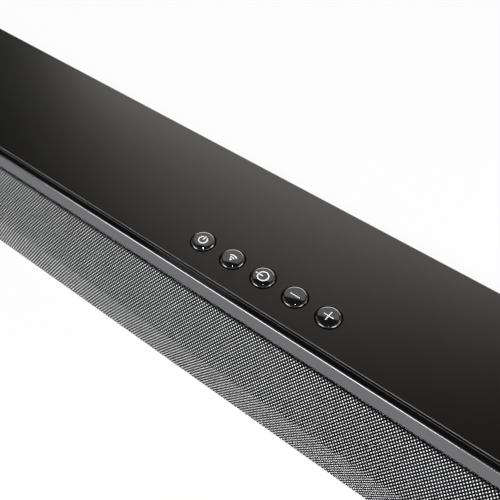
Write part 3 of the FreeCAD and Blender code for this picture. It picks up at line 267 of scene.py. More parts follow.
def spread(tree, value, low, high):
    """Maps low..high to 0..1 with soft ends."""
    node = tree.nodes.new("ShaderNodeMapRange")
    node.interpolation_type = "SMOOTHSTEP"
    node.inputs["From Min"].default_value = low
    node.inputs["From Max"].default_value = high
    link(tree, value, node.inputs["Value"])
    return node.outputs[0]


def object_axes(tree):
    """The X, Y and Z outputs of the object's own coordinates."""
    place_node = tree.nodes.new("ShaderNodeTexCoord")
    axes = tree.nodes.new("ShaderNodeSeparateXYZ")
    link(tree, place_node.outputs["Object"], axes.inputs[0])
    return axes.outputs


def blend_colour(tree, factor, plain, other):
    """Mixes two colours, each a socket or a value, by a factor socket; returns the colour socket."""
    mix = tree.nodes.new("ShaderNodeMix")
    mix.data_type = "RGBA"
    fill(tree, mix.inputs[6], plain)
    fill(tree, mix.inputs[7], other)
    link(tree, factor, mix.inputs[0])
    return mix.outputs[2]


def shader_of(material):
    """A material's Principled shader."""
    return material.node_tree.nodes["Principled BSDF"]


def relief(material, height_socket, depth):
    """Feeds a height through a Bump node into the shader's normal; depth is in metres."""
    tree = material.node_tree
    bump = tree.nodes.new("ShaderNodeBump")
    bump.inputs["Distance"].default_value = depth
    link(tree, height_socket, bump.inputs["Height"])
    link(tree, bump.outputs["Normal"], shader_of(material).inputs["Normal"])


# Grain is fine noise for relief; Clouds are broad soft patches for colour and gloss.
surface_group, surface_in, surface_out = node_group(
    "moulded_surface", [("Grain per metre", 1800.0), ("Clouds per metre", 18.0)], ["Grain", "Clouds"])
surface_place = surface_group.nodes.new("ShaderNodeTexCoord").outputs["Object"]
fine = clouds(surface_group, surface_place, surface_in.outputs["Grain per metre"], GRAIN_DETAIL)
soft = clouds(surface_group, surface_place, surface_in.outputs["Clouds per metre"], CLOUD_DETAIL)
link(surface_group, fine, surface_out.inputs["Grain"])
link(surface_group, spread(surface_group, soft, *CLOUD_EDGES), surface_out.inputs["Clouds"])

# Band is 1 inside a window of height and depth, to pick out one edge of a long moulding. Each limit's
# name ends with its axis.
band_group, band_in, band_out = node_group(
    "edge_band", [("Low Z", -1.0), ("High Z", 1.0), ("Front Y", -1.0), ("Rear Y", 1.0)], ["Band"])
band_axes = object_axes(band_group)
band = 1.0
for limit, test in (("Low Z", "GREATER_THAN"), ("High Z", "LESS_THAN"),
                    ("Front Y", "GREATER_THAN"), ("Rear Y", "LESS_THAN")):
    inside = arithmetic(band_group, test, band_axes[limit[-1]], band_in.outputs[limit])
    band = times(band_group, band, inside)
link(band_group, band, band_out.inputs["Band"])


def moulded(name, plain, cloudy, rough, grain, patches=18.0, metal=0.0):
    """A material with fine grain and faint clouds.

    rough is the roughness and what a full cloud adds to it. grain is the grains in a metre and their
    depth in metres, and patches the clouds in a metre.
    """
    material, tree, out = new_material(name)
    shader = tree.nodes.new("ShaderNodeBsdfPrincipled")
    link(tree, shader.outputs[0], out.inputs["Surface"])
    shader.inputs["Metallic"].default_value = metal
    surface = use_group(tree, surface_group, {"Grain per metre": grain[0], "Clouds per metre": patches})
    link(tree, blend_colour(tree, surface.outputs["Clouds"], plain, cloudy), shader.inputs["Base Color"])
    shader.inputs["Roughness"].default_value = rough[0]
    if rough[1]:
        change = times(tree, surface.outputs["Clouds"], rough[1])
        link(tree, arithmetic(tree, "ADD", change, rough[0]), shader.inputs["Roughness"])
    relief(material, surface.outputs["Grain"], grain[1])
    return material


def band_of(material, limits):
    """The edge band's mask in a material; limits left out are the group's own."""
    return use_group(material.node_tree, band_group, limits).outputs["Band"]


def recolour(material, mask, colour):
    """Blends another colour over a finish where a mask is 1."""
    tree = material.node_tree
    socket = shader_of(material).inputs["Base Color"]
    link(tree, blend_colour(tree, mask, socket.links[0].from_socket, colour), socket)


def turn_metal(material, mask):
    """Makes a finish plain metal where a mask is 1."""
    link(material.node_tree, mask, shader_of(material).inputs["Metallic"])


def dress(material, *nodes):
    """Puts a material on CAD nodes."""
    for node in nodes:
        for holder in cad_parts[node].material_slots:
            holder.material = material


deck_satin = moulded("deck_satin", DECK_BLACK, DECK_CLOUD, rough=(0.285, 0.0), grain=(2600.0, 3e-6))
deck_tree = deck_satin.node_tree
deck_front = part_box("top_panel")[0].y
# The thin band along the deck's front edge is a painted highlight: bright grey metal.
deck_edge_highlight = band_of(deck_satin, {"Low Z": DECK_Z - DECK_EDGE_ROUND, "Rear Y": deck_front + DECK_EDGE_ROUND})
recolour(deck_satin, deck_edge_highlight, DECK_EDGE_HIGHLIGHT)
turn_metal(deck_satin, deck_edge_highlight)

# A Wrap node brings every hole of the row, whose middle is at X = 0, to one place for its ring of painted
# shade.
hole_axes = object_axes(deck_tree)
wrapped = deck_tree.nodes.new("ShaderNodeMath")
wrapped.operation = "WRAP"
link(deck_tree, hole_axes["X"], wrapped.inputs[0])
wrapped.inputs[1].default_value = HOLE_PITCH / 2
wrapped.inputs[2].default_value = -HOLE_PITCH / 2
from_row = arithmetic(deck_tree, "SUBTRACT", hole_axes["Y"], power_middle.y)
from_hole = arithmetic(deck_tree, "SQRT", arithmetic(
    deck_tree, "ADD", times(deck_tree, wrapped.outputs[0], wrapped.outputs[0]),
    times(deck_tree, from_row, from_row)))
along_row = arithmetic(deck_tree, "ABSOLUTE", hole_axes["X"])
in_row = arithmetic(deck_tree, "LESS_THAN", along_row, HOLE_PITCH * len(BUTTONS) / 2)
# Round each hole the deck is painted black, in colour and in its reflection's tint: painted shade.
hole_painted_shade = times(deck_tree, in_row, spread(deck_tree, from_hole, HOLE_SHADE_RADIUS + HOLE_SHADE_SOFT, HOLE_SHADE_RADIUS))
recolour(deck_satin, hole_painted_shade, BLACK)
deck_tint_less_hole_shade = blend_colour(deck_tree, hole_painted_shade, DECK_TINT, BLACK)
link(deck_tree, deck_tint_less_hole_shade, shader_of(deck_satin).inputs["Specular Tint"])
dress(deck_satin, "top_panel")

# ---- gloss strip and bezel ----
# The strip is a piano-black moulding with a painted highlight along its rear edge: a grey band, made
# a little rougher. The bezel is a satin grey extrusion: its top edge is cut bright after painting, and
# behind the cut its lip is black.
GLOSS_BLACK = (0.0030, 0.0030, 0.0032, 1.0)
GLOSS_SCUFF = (0.0045, 0.0045, 0.0047, 1.0)
STRIP_EDGE_HIGHLIGHT = (0.11, 0.11, 0.115, 1.0)
STRIP_EDGE_ROUND = 0.00035
STRIP_SPECULAR = 0.3
BEZEL_GREY = (0.064, 0.064, 0.069, 1.0)
BEZEL_CLOUD = (0.070, 0.070, 0.075, 1.0)
BRIGHT_CUT = (0.90, 0.90, 0.91, 1.0)
CUT_HEIGHT = 0.00018
LIP_LEVEL = 0.00001


def resmooth(material, mask, change):
    """Adds a change of roughness where a mask is 1."""
    tree = material.node_tree
    socket = shader_of(material).inputs["Roughness"]
    link(tree, arithmetic(tree, "ADD", socket.links[0].from_socket, times(tree, mask, change)), socket)


strip_gloss = moulded("strip_gloss", GLOSS_BLACK, GLOSS_SCUFF, rough=(0.045, 0.03), grain=(900.0, 4e-7))
shader_of(strip_gloss).inputs["Specular IOR Level"].default_value = STRIP_SPECULAR
strip_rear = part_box("trim_strip")[1].y
# The grey band along the strip's rear edge is a painted highlight.
strip_edge_highlight = band_of(strip_gloss, {
    "Low Z": DECK_Z - STRIP_EDGE_ROUND, "Front Y": strip_rear - STRIP_EDGE_ROUND})
recolour(strip_gloss, strip_edge_highlight, STRIP_EDGE_HIGHLIGHT)
resmooth(strip_gloss, strip_edge_highlight, change=0.25)
dress(strip_gloss, "trim_strip")

# Lines are noise drawn out along one axis, as on an extrusion or a rolled sheet.
drawn_group, drawn_in, drawn_out = node_group(
    "drawn_lines", [("X share", 0.02), ("Y share", 1.0), ("Z share", 1.0), ("Lines per metre", 3000.0)],
    ["Lines"])
drawn_axes = object_axes(drawn_group)
drawn_place = drawn_group.nodes.new("ShaderNodeCombineXYZ")
for axis in ("X", "Y", "Z"):
    shared = times(drawn_group, drawn_axes[axis], drawn_in.outputs[axis + " share"])
    link(drawn_group, shared, drawn_place.inputs[axis])
drawn = clouds(drawn_group, drawn_place.outputs[0], drawn_in.outputs["Lines per metre"], GRAIN_DETAIL)
link(drawn_group, drawn, drawn_out.inputs["Lines"])


def draw_lines(material, shares, lines, change):
    """Lets drawn lines vary a finish's roughness; the axis with a small share is the one they run along."""
    node = use_group(material.node_tree, drawn_group, {
        "X share": shares[0], "Y share": shares[1], "Z share": shares[2], "Lines per metre": lines})
    resmooth(material, node.outputs["Lines"], change)


bezel_grey = moulded("bezel_grey", BEZEL_GREY, BEZEL_CLOUD, rough=(0.30, 0.04), grain=(2200.0, 4e-6))
draw_lines(bezel_grey, shares=(0.01, 1.0, 1.0), lines=2500.0, change=0.08)
bezel_cut = band_of(bezel_grey, {"Low Z": DECK_Z - CUT_HEIGHT, "High Z": DECK_Z - LIP_LEVEL})
recolour(bezel_grey, band_of(bezel_grey, {"Low Z": DECK_Z - LIP_LEVEL}), GLOSS_BLACK)
recolour(bezel_grey, bezel_cut, BRIGHT_CUT)
resmooth(bezel_grey, bezel_cut, change=-0.16)
turn_metal(bezel_grey, bezel_cut)
dress(bezel_grey, "front_bezel")

# ---- grille cloth ----
# An open plain weave of coarse black polyester yarn, pulled tight over the frame in two flat facets.
# Its knuckles stand in a staggered lattice; their light-grey tops are partly the yarn's own tone and
# partly a painted highlight, and the gaps between are black with no reflection, as painted shade.
KNUCKLE_PITCH_X = 0.00173
KNUCKLE_PITCH_SLOPE = 0.00230
KNUCKLE_DEPTH = 0.00045
KNUCKLE_EDGES = (0.46, 0.60)
CREASE_ROUND = 0.0045
CREASE_ABOVE_HEM = 0.022
CLOTH_THICK = 0.0008
CLOTH_LENGTH = 0.0542
CLOTH_BACK_ROWS = 5
HEM_INSET = 0.0001
HEM_PAINTED_SHADE = (0.0006, 0.0020)
FRONT_LEAN = math.radians(66.9)
YARN_BLACK = (0.0018, 0.0018, 0.0020, 1.0)
YARN_PALE_AND_HIGHLIGHT = (0.94, 0.94, 0.95, 1.0)
YARN_ROUGHNESS = 0.42
YARN_RELIEF = 0.00010
YARN_SPOTS = 900.0
SPOT_SHADE = 0.9
SPOT_LEAST = 0.5
YARN_TWIST = 5200.0
TWIST_SHADE = 0.12
TWIST_LIFT = 0.15


def add_piece(name, points, faces, material, body, uv=None, smooth_angle=40.0):
    """Makes a mesh piece that rides on a body and takes its finish from a slot; uv is one pair a vertex.

    body is None for a piece that rides on no body.
    """
    mesh = bpy.data.meshes.new(name)
    mesh.from_pydata(np.reshape(points, (-1, 3)), [], faces)
    if uv is not None:
        corners = np.empty(len(mesh.loops), np.int32)
        mesh.loops.foreach_get("vertex_index", corners)
        mesh.uv_layers.new(name="weave").data.foreach_set("uv", np.asarray(uv, np.float32)[corners].ravel())
    mesh.materials.append(material)
    mesh.shade_smooth()
    mesh.set_sharp_from_angle(angle=math.radians(smooth_angle))
    piece = bpy.data.objects.new(name, mesh)
    bpy.context.scene.collection.objects.link(piece)
    if body:
        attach(piece, body)
    return piece


def ring_quads(stations, count):
    """Quads from each station's ring to the next one's; indexed by station, then place on the ring.

    Rings run clockwise as seen along the way from the first station to the last, so faces look outwards.
    """
    first = np.arange(stations - 1)[:, None] * count
    here = np.arange(count)[None, :]
    beside = (here + 1) % count
    return np.stack([first + here, first + beside, first + count + beside, first + count + here], axis=-1)


def end_caps(stations, count):
    """The two many-sided faces that close a row of rings."""
    return [np.arange(count)[::-1].tolist(), (np.arange(count) + (stations - 1) * count).tolist()]


def cloth_line(s, top, crease, bottom):
    """Points and headings at lengths s down the cloth's front.

    Straight from the top to the crease, round it on an arc of radius CREASE_ROUND that touches both
    facets, then straight down.
    """
    upper = np.array(crease) - np.array(top)
    upper_length = np.linalg.norm(upper)
    upper = upper / upper_length
    lower = np.array(bottom) - np.array(crease)
    lower = lower / np.linalg.norm(lower)
    turn = math.acos(float(upper @ lower))
    start = upper_length - CREASE_ROUND * math.tan(turn / 2)
    inward = np.array((upper[1], -upper[0]))
    inward = inward if inward @ lower > 0 else -inward
    angle = np.clip((s - start) / CREASE_ROUND, 0, turn)[:, None]
    on_upper = np.minimum(s, start)[:, None] * upper
    on_arc = CREASE_ROUND * (np.sin(angle) * upper + (1 - np.cos(angle)) * inward)
    on_lower = np.maximum(s - start - CREASE_ROUND * turn, 0)[:, None] * lower
    heading = np.cos(angle) * upper + np.sin(angle) * inward
    return np.array(top) + on_upper + on_arc + on_lower, heading


cloth_low, cloth_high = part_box("grille_cloth")
crease_z = cloth_low.z + CREASE_ABOVE_HEM
cloth_top_y = cloth_low.y + (cloth_high.z - crease_z) / math.tan(FRONT_LEAN)
rows = np.arange(0, CLOTH_LENGTH, KNUCKLE_PITCH_SLOPE / 2)
columns = np.arange(cloth_low.x + HEM_INSET, cloth_high.x, KNUCKLE_PITCH_X / 2)
cloth_yz, cloth_heading = cloth_line(rows, (cloth_top_y, cloth_high.z), (cloth_low.y, crease_z),
                                     (cloth_low.y, cloth_low.z))
into_bar = np.stack([-cloth_heading[:, 1], cloth_heading[:, 0]], axis=1)
low_knot = (np.arange(len(columns))[:, None] + np.arange(len(rows))[None, :]) % 2
front_yz = cloth_yz[None] + into_bar[None] * (KNUCKLE_DEPTH * low_knot)[..., None]
back_rows = np.linspace(len(rows) - 1, 0, CLOTH_BACK_ROWS).astype(int)
back_yz = np.repeat((cloth_yz + into_bar * CLOTH_THICK)[back_rows][None], len(columns), axis=0)
cloth_rings_yz = np.concatenate([front_yz, back_yz], axis=1)
cloth_ring = cloth_rings_yz.shape[1]
cloth_x = np.repeat(columns[:, None, None], cloth_ring, axis=1)
cloth_points = np.concatenate([cloth_x, cloth_rings_yz], axis=2)
cloth_down = np.concatenate([rows, 2 * rows[-1] + CLOTH_THICK - rows[back_rows]])
cloth_uv = np.stack(np.broadcast_arrays(columns[:, None], cloth_down[None]), axis=-1).reshape(-1, 2)

# Each front quad is cut along its two low corners, so that every knuckle is a four-sided point.
cloth_quads = ring_quads(len(columns), cloth_ring)
front_quads = cloth_quads[:, :len(rows) - 1].reshape(-1, 4)
raised = (low_knot[:-1, :-1] == 0).reshape(-1, 1)
first_half = np.where(raised, front_quads[:, [0, 1, 3]], front_quads[:, [0, 1, 2]])
second_half = np.where(raised, front_quads[:, [1, 2, 3]], front_quads[:, [0, 2, 3]])
cloth_faces = (np.concatenate([first_half, second_half]).tolist()
               + cloth_quads[:, len(rows) - 1:].reshape(-1, 4).tolist() + end_caps(len(columns), cloth_ring))

grille_weave, weave_tree, weave_out = new_material("grille_weave")
weave_shader = weave_tree.nodes.new("ShaderNodeBsdfPrincipled")
link(weave_tree, weave_shader.outputs[0], weave_out.inputs["Surface"])
weave_uv = weave_tree.nodes.new("ShaderNodeUVMap")
weave_uv.uv_map = "weave"
weave_axes = weave_tree.nodes.new("ShaderNodeSeparateXYZ")
link(weave_tree, weave_uv.outputs[0], weave_axes.inputs[0])
across = times(weave_tree, weave_axes.outputs["X"], 2 * math.pi / KNUCKLE_PITCH_X)
from_first = arithmetic(weave_tree, "SUBTRACT", across, 2 * math.pi * columns[0] / KNUCKLE_PITCH_X)
downward = times(weave_tree, weave_axes.outputs["Y"], 2 * math.pi / KNUCKLE_PITCH_SLOPE)
lattice = times(weave_tree, arithmetic(weave_tree, "COSINE", from_first),
                arithmetic(weave_tree, "COSINE", downward))
twist_place = arithmetic(weave_tree, "ADD", weave_axes.outputs["X"], weave_axes.outputs["Y"])
twist = arithmetic(weave_tree, "SINE", times(weave_tree, twist_place, 2 * math.pi * YARN_TWIST))

# Knuckles are uneven from spot to spot and along the twist. Their light colour is partly the yarn's own
# and partly a painted highlight, and towards the top hem it fades into painted shade, the bezel's shadow.
spots = times(weave_tree, clouds(weave_tree, weave_uv.outputs[0], YARN_SPOTS), SPOT_SHADE)
uneven = arithmetic(weave_tree, "ADD", arithmetic(weave_tree, "ADD", spots, SPOT_LEAST),
                    times(weave_tree, twist, TWIST_SHADE))
# The knuckles' light grey is partly the yarn's tone and partly a painted highlight on their tops.
knuckles = times(weave_tree, spread(weave_tree, lattice, *KNUCKLE_EDGES), uneven)
# Along the top hem the weave is painted black, in colour and reflection, as the shade under the bezel.
knuckle_tone_highlight_hem_shade = times(weave_tree, knuckles, spread(weave_tree, weave_axes.outputs["Y"], *HEM_PAINTED_SHADE))
link(weave_tree, blend_colour(weave_tree, knuckle_tone_highlight_hem_shade, YARN_BLACK, YARN_PALE_AND_HIGHLIGHT), weave_shader.inputs["Base Color"])
link(weave_tree, blend_colour(weave_tree, knuckle_tone_highlight_hem_shade, BLACK, WHITE), weave_shader.inputs["Specular Tint"])
weave_shader.inputs["Roughness"].default_value = YARN_ROUGHNESS
weave_height = arithmetic(weave_tree, "ADD", lattice, times(weave_tree, twist, TWIST_LIFT))
relief(grille_weave, weave_height, YARN_RELIEF)

cloth = add_piece("grille_cloth_weave", cloth_points, cloth_faces, grille_weave, "housing",
                  uv=cloth_uv, smooth_angle=8.0)
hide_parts("grille_cloth")

# ---- buttons ----
# Five piano-black caps with a slightly crowned top and a bevelled rim; a flange under the deck keeps
# them in. Their symbols are pad-printed in white ink, which follows the crown.
CAP_RADIUS = 0.0059
LEVEL_SLACK = 0.00005
CAP_SIDES = 72
CROWN_RADIUS = 0.120
CROWN_STATIONS = 11
CROWN_EYE = 0.0002
# Radius, and height from the crown's top: two straight bevels between soft corners, the lower steeper.
CAP_BEVEL = ((0.00510, -0.000108), (0.00515, -0.000125), (0.00519, -0.000155), (0.00522, -0.000190),
             (0.00524, -0.000210), (0.00526, -0.0002315), (0.00562, -0.0006185), (0.00564, -0.000640),
             (0.00566, -0.000666), (0.00568, -0.000697), (0.00587, -0.000995), (0.00588, -0.001012),
             (0.00590, -0.001055))
INK_THICK = 0.00004
INK_WHITE = (0.94, 0.94, 0.93, 1.0)
INK_WORN = (0.90, 0.90, 0.89, 1.0)
INK_LINE = 0.00061
SIGN_LINE = 0.00044
INK_STEP = math.radians(9)
STROKE_STATIONS = 9
POWER_RADIUS = 0.00212
POWER_ARC = (118, 422)
WAVES = ((0.0015, (42, 138)), (0.0028, (45, 135)))
WAVE_DOT = 0.00062
WAVE_DROP = 0.0014
DOT_STATIONS = 15
DOT_SPAN = 0.98
SOURCE_RADIUS = 0.00265
SOURCE_ARC = (-165, 165)
SOURCE_ARROW = 0.0042
MINUS_HALF = 0.00265
PLUS_HALF = 0.00260

gloss_black = moulded("gloss_black", GLOSS_BLACK, GLOSS_SCUFF, rough=(0.045, 0.03), grain=(900.0, 4e-7))
gloss_shader = shader_of(gloss_black)
gloss_shader.inputs["Coat Weight"].default_value = 1.0
gloss_shader.inputs["Coat IOR"].default_value = 1.8
gloss_shader.inputs["Coat Roughness"].default_value = 0.03
printed_ink = moulded("printed_ink", INK_WHITE, INK_WORN, rough=(0.45, 0.1), grain=(5000.0, 3e-6),
                      patches=900.0)


def turned(profile, count):
    """Rings of a surface of revolution: each profile radius times cosine and minus sine of the angle."""
    profile = np.asarray(profile, float)
    angle = 2 * math.pi * np.arange(count) / count
    radius, level = profile[:, :1], profile[:, 1:]
    return np.stack(np.broadcast_arrays(radius * np.cos(angle), -radius * np.sin(angle), level), axis=-1)


def closed_faces(stations, count):
    """Faces of a row of rings with both ends closed."""
    return ring_quads(stations, count).reshape(-1, 4).tolist() + end_caps(stations, count)


def node_points(node):
    """The vertices of a CAD node, one a row."""
    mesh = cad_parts[node].data
    points = np.empty(3 * len(mesh.vertices))
    mesh.vertices.foreach_get("co", points)
    return points.reshape(-1, 3)


def cap_profile():
    """Radius and height of a cap, from the middle of its crown out, down its bevels and flank, to its stem.

    The crown falls with the radius squared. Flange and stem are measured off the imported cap: the flange
    is what lies outside the flank, and the stem what lies lowest.
    """
    top = middle("source_button")
    top.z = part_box("source_button")[1].z
    points = node_points("source_button") - np.array(top)
    reach = np.hypot(points[:, 0], points[:, 1])
    level = points[:, 2]
    flange = level[reach > CAP_RADIUS + LEVEL_SLACK]
    stem = reach[level < level.min() + LEVEL_SLACK].max()
    crown = np.linspace(CROWN_EYE, CAP_BEVEL[0][0], CROWN_STATIONS + 1)[:-1]
    return np.concatenate([
        np.stack([crown, -crown ** 2 / (2 * CROWN_RADIUS)], axis=1), CAP_BEVEL,
        [(CAP_RADIUS, flange.max()), (reach.max(), flange.max()), (reach.max(), flange.min()),
         (stem, flange.min()), (stem, level.min())]])


def arc_path(radius, limits, drop=0.0):
    """Points on an arc about the button's middle, between two angles in degrees."""
    count = max(3, int(math.radians(limits[1] - limits[0]) / INK_STEP) + 1)
    angles = np.radians(np.linspace(*limits, count))
    return np.stack([radius * np.cos(angles), radius * np.sin(angles) - drop], axis=1)


def line_path(start, end):
    """Points on a straight stroke."""
    return np.linspace(start, end, STROKE_STATIONS)


def ink_slab(path, width, spot, top):
    """Rings of a flat closed slab along a path, half the width to each side, square to the path.

    Its faces follow the crown, which falls from the middle by the distance squared over twice its radius.
    """
    heading = np.gradient(path, axis=0)
    heading = heading / np.linalg.norm(heading, axis=1, keepdims=True)
    side = np.stack([-heading[:, 1], heading[:, 0]], axis=1) * np.reshape(width, (-1, 1)) / 2
    edges = np.stack([path + side, path - side], axis=1)
    crown = top - (edges ** 2).sum(axis=-1, keepdims=True) / (2 * CROWN_RADIUS)
    placed = edges + np.array((spot.x, spot.y))
    upper = np.concatenate([placed, crown + INK_THICK], axis=-1)
    lower = np.concatenate([placed, crown - 2 * INK_THICK], axis=-1)
    return np.stack([upper[:, 0], upper[:, 1], lower[:, 1], lower[:, 0]], axis=1)


def print_symbol(name, strokes):
    """Prints strokes, each (path, width), on a button's crowned top."""
    points = []
    faces = []
    start = 0
    for path, width in strokes:
        slab = ink_slab(path, width, middle(name + "_button"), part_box(name + "_button")[1].z)
        points.append(slab.reshape(-1, 3))
        faces += (ring_quads(len(path), 4).reshape(-1, 4) + start).tolist()
        faces += (np.array(end_caps(len(path), 4)) + start).tolist()
        start += 4 * len(path)
    add_piece(name + "_symbol", np.concatenate(points), faces, printed_ink,
              name + "_button_body")


cap_rings = turned(cap_profile(), CAP_SIDES)
cap_faces = closed_faces(len(cap_rings), CAP_SIDES)
for name in BUTTONS:
    cap_top = middle(name + "_button")
    cap_top.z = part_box(name + "_button")[1].z
    cap = add_piece(name + "_cap", cap_rings + np.array(cap_top), cap_faces, gloss_black,
                    name + "_button_body", smooth_angle=30.0)
    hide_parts(name + "_button")

print_symbol("power", [
    (arc_path(POWER_RADIUS, POWER_ARC), INK_LINE),
    (line_path((0, 0), (0, POWER_RADIUS + INK_LINE)), INK_LINE),
])
dot_x = np.linspace(-DOT_SPAN, DOT_SPAN, DOT_STATIONS)
print_symbol("pairing", [
    (np.stack([dot_x * WAVE_DOT, 0 * dot_x - WAVE_DROP], axis=1), 2 * WAVE_DOT * np.sqrt(1 - dot_x ** 2)),
    *[(arc_path(radius, limits, WAVE_DROP), INK_LINE) for radius, limits in WAVES],
])
print_symbol("source", [
    (arc_path(SOURCE_RADIUS, SOURCE_ARC), INK_LINE),
    (line_path((-SOURCE_ARROW, 0), (0, 0)), INK_LINE),
])
print_symbol("volume_down", [(line_path((-MINUS_HALF, 0), (MINUS_HALF, 0)), SIGN_LINE)])
print_symbol("volume_up", [
    (line_path((-PLUS_HALF, 0), (PLUS_HALF, 0)), SIGN_LINE),
    (line_path((0, SIGN_LINE / 2), (0, PLUS_HALF)), SIGN_LINE),
    (line_path((0, -PLUS_HALF), (0, -SIGN_LINE / 2)), SIGN_LINE),
])

# ---- case ----
# Cabinet, back panels and end caps are moulded in black with a spark-eroded grain, and the parts they
# close in are a plainer black. A little dust lies where a face looks up.
CASE_BLACK = (0.016, 0.016, 0.0165, 1.0)
CASE_CLOUD = (0.022, 0.022, 0.0225, 1.0)
INNER_BLACK = (0.013, 0.013, 0.0135, 1.0)
INNER_CLOUD = (0.017, 0.017, 0.0175, 1.0)
DUST_GREY = (0.16, 0.155, 0.145, 1.0)
DUST_UPWARD = (0.40, 0.95)
DUST_EDGES = (0.35, 0.75)
DUST_DETAIL = 6.0

# Dust is patchy noise on faces that look up.
dust_group, dust_in, dust_out = node_group(
    "settled_dust", [("Amount", 0.3), ("Patches per metre", 60.0)], ["Dust"])
dust_place = dust_group.nodes.new("ShaderNodeTexCoord")
dust_normal = dust_group.nodes.new("ShaderNodeSeparateXYZ")
link(dust_group, dust_place.outputs["Normal"], dust_normal.inputs[0])
dust_clouds = clouds(dust_group, dust_place.outputs["Object"], dust_in.outputs["Patches per metre"],
                     DUST_DETAIL)
dust_mask = times(dust_group, spread(dust_group, dust_normal.outputs["Z"], *DUST_UPWARD),
                  spread(dust_group, dust_clouds, *DUST_EDGES))
link(dust_group, times(dust_group, dust_mask, dust_in.outputs["Amount"]), dust_out.inputs["Dust"])


def settle_dust(material, amount):
    """Lays dust over a finish, which also dulls it."""
    dust = use_group(material.node_tree, dust_group, {"Amount": amount}).outputs["Dust"]
    recolour(material, dust, DUST_GREY)
    resmooth(material, dust, change=0.4)


case_black = moulded("case_black", CASE_BLACK, CASE_CLOUD, rough=(0.46, 0.08), grain=(1500.0, 3e-5))
settle_dust(case_black, amount=0.10)
dress(case_black, "bottom_cabinet", "rear_side_panels", "socket_panel", "power_panel",
      "left_end_cap", "right_end_cap")

inner_black = moulded("inner_black", INNER_BLACK, INNER_CLOUD, rough=(0.52, 0.08), grain=(1900.0, 2e-5))
settle_dust(inner_black, amount=0.08)
dress(inner_black, "front_baffle", "grille_frame", "button_guide", "bass_ports", "woofer_baskets",
      "tweeter_bodies")

# ---- feet ----
# Eight moulded rubber pucks, glued into recesses of the cabinet's floor. Their soles have three grip
# rings.
RUBBER_BLACK = (0.020, 0.020, 0.021, 1.0)
RUBBER_CHALK = (0.040, 0.040, 0.041, 1.0)
FOOT_RADIUS = 0.007
FOOT_HEIGHT = 0.0025
FOOT_EDGE = 0.00035
FOOT_REACH = 0.016
FOOT_SIDES = 48
SOLE_EYE = 0.0003
SOLE_STATIONS = 46
GRIP_RINGS = (0.0020, 0.0036, 0.0052)
GRIP_DEPTH = 0.00035
GRIP_HALF_WIDTH = 0.0004
GRIP_STEEPNESS = 1.5


def axes_facing(way):
    """Rows of a right-handed set of axes: one beside the bar's X, one across, and the given way as third."""
    way = np.array(way, float)
    return np.array([(1.0, 0.0, 0.0), np.cross(way, (1.0, 0.0, 0.0)), way])


def spots_along(node, reach, axes):
    """For each solid of a node, its middle across the third axis, at its highest point along it.

    Vertices nearer than reach to the first one left over belong to the same solid.
    """
    points = node_points(node)
    spots = []
    while len(points):
        near = np.linalg.norm(points - points[0], axis=1) < reach
        local = points[near] @ axes.T
        spot = (local.min(axis=0) + local.max(axis=0)) / 2
        spot[2] = local[:, 2].max()
        spots.append(spot @ axes)
        points = points[~near]
    return np.array(spots)


def set_at(local, origins, axes):
    """Copies of a local shape, with its axes turned to the given rows, one at each origin."""
    return (local.reshape(-1, 3) @ axes)[None] + np.asarray(origins)[:, None]


def faces_of_copies(faces, copies, size):
    """The faces of one shape of size vertices, repeated for its copies."""
    return [[corner + copy * size for corner in face] for copy in range(copies) for face in faces]


rubber = moulded("rubber", RUBBER_BLACK, RUBBER_CHALK, rough=(0.72, 0.1), grain=(3200.0, 2e-5), patches=120.0)
sole_radius = np.linspace(SOLE_EYE, FOOT_RADIUS - FOOT_EDGE, SOLE_STATIONS)
from_grip = np.abs(sole_radius[:, None] - GRIP_RINGS) / GRIP_HALF_WIDTH
sole_groove = np.clip(GRIP_STEEPNESS * (1 - from_grip), 0, 1).max(axis=1)
foot_profile = np.concatenate([
    np.stack([sole_radius, -GRIP_DEPTH * sole_groove], axis=1),
    [(FOOT_RADIUS, -FOOT_EDGE), (FOOT_RADIUS, -FOOT_HEIGHT), (SOLE_EYE, -FOOT_HEIGHT)]])
facing_down = axes_facing((0, 0, -1))
foot_spots = spots_along("rubber_feet", FOOT_REACH, facing_down)
foot_shape = turned(foot_profile, FOOT_SIDES)
foot_faces = closed_faces(len(foot_profile), FOOT_SIDES)
feet = add_piece("gripped_feet", set_at(foot_shape, foot_spots, facing_down),
                 faces_of_copies(foot_faces, len(foot_spots), foot_shape.size // 3),
                 rubber, "housing", smooth_angle=30.0)
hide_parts("rubber_feet")

# ---- screws ----
# Thread-forming screws with domed heads and a cross recess: black ones hold case, drivers and button
# board, bright ones hold the boards.
SCREW_BLACK = (0.055, 0.053, 0.052, 1.0)
SCREW_RUBBED = (0.16, 0.155, 0.15, 1.0)
STEEL = (0.56, 0.56, 0.57, 1.0)
STEEL_CLOUD = (0.46, 0.46, 0.47, 1.0)
HEAD_STATIONS = (0.04, 0.10, 0.15, 0.21, 0.28, 0.36, 0.45, 0.52, 0.58, 0.64, 0.76, 0.88, 0.96, 1.0, 1.0)
HEAD_DOME = 0.30
HEAD_RIM = (0.45, 0.60, 1.0)
RECESS_REACH = 0.56
RECESS_HALF_WIDTH = 0.12
RECESS_SOFT = 0.07
RECESS_DEPTH = 0.62
THREAD_SHARE = 0.24
THREAD_ROWS = 4
TIP_LENGTH = 0.0006
TIP_TAPER = 0.2
TIP_WIDE = 0.55
TIP_POINT = 0.15
# Each screw: head radius, head height, shank radius, shank length, thread pitch.
CASE_SCREW = (0.0028, 0.0016, 0.0015, 0.0157, 0.0012)
DRIVER_SCREW = (0.0020, 0.0012, 0.0010, 0.0040, 0.0008)
BUTTON_BOARD_SCREW = (0.0020, 0.0012, 0.0010, 0.0055, 0.0008)
BOARD_SCREW = (0.0020, 0.0012, 0.0010, 0.0074, 0.0008)


def thread(rings, pitch, depth):
    """Cuts a thread: the radius dips with a triangle wave of the height over the pitch less the angle."""
    count = rings.shape[1]
    wave = np.abs(2 * ((rings[..., 2] / pitch - np.arange(count) / count) % 1) - 1)
    rings[..., :2] *= 1 - depth * wave[..., None]


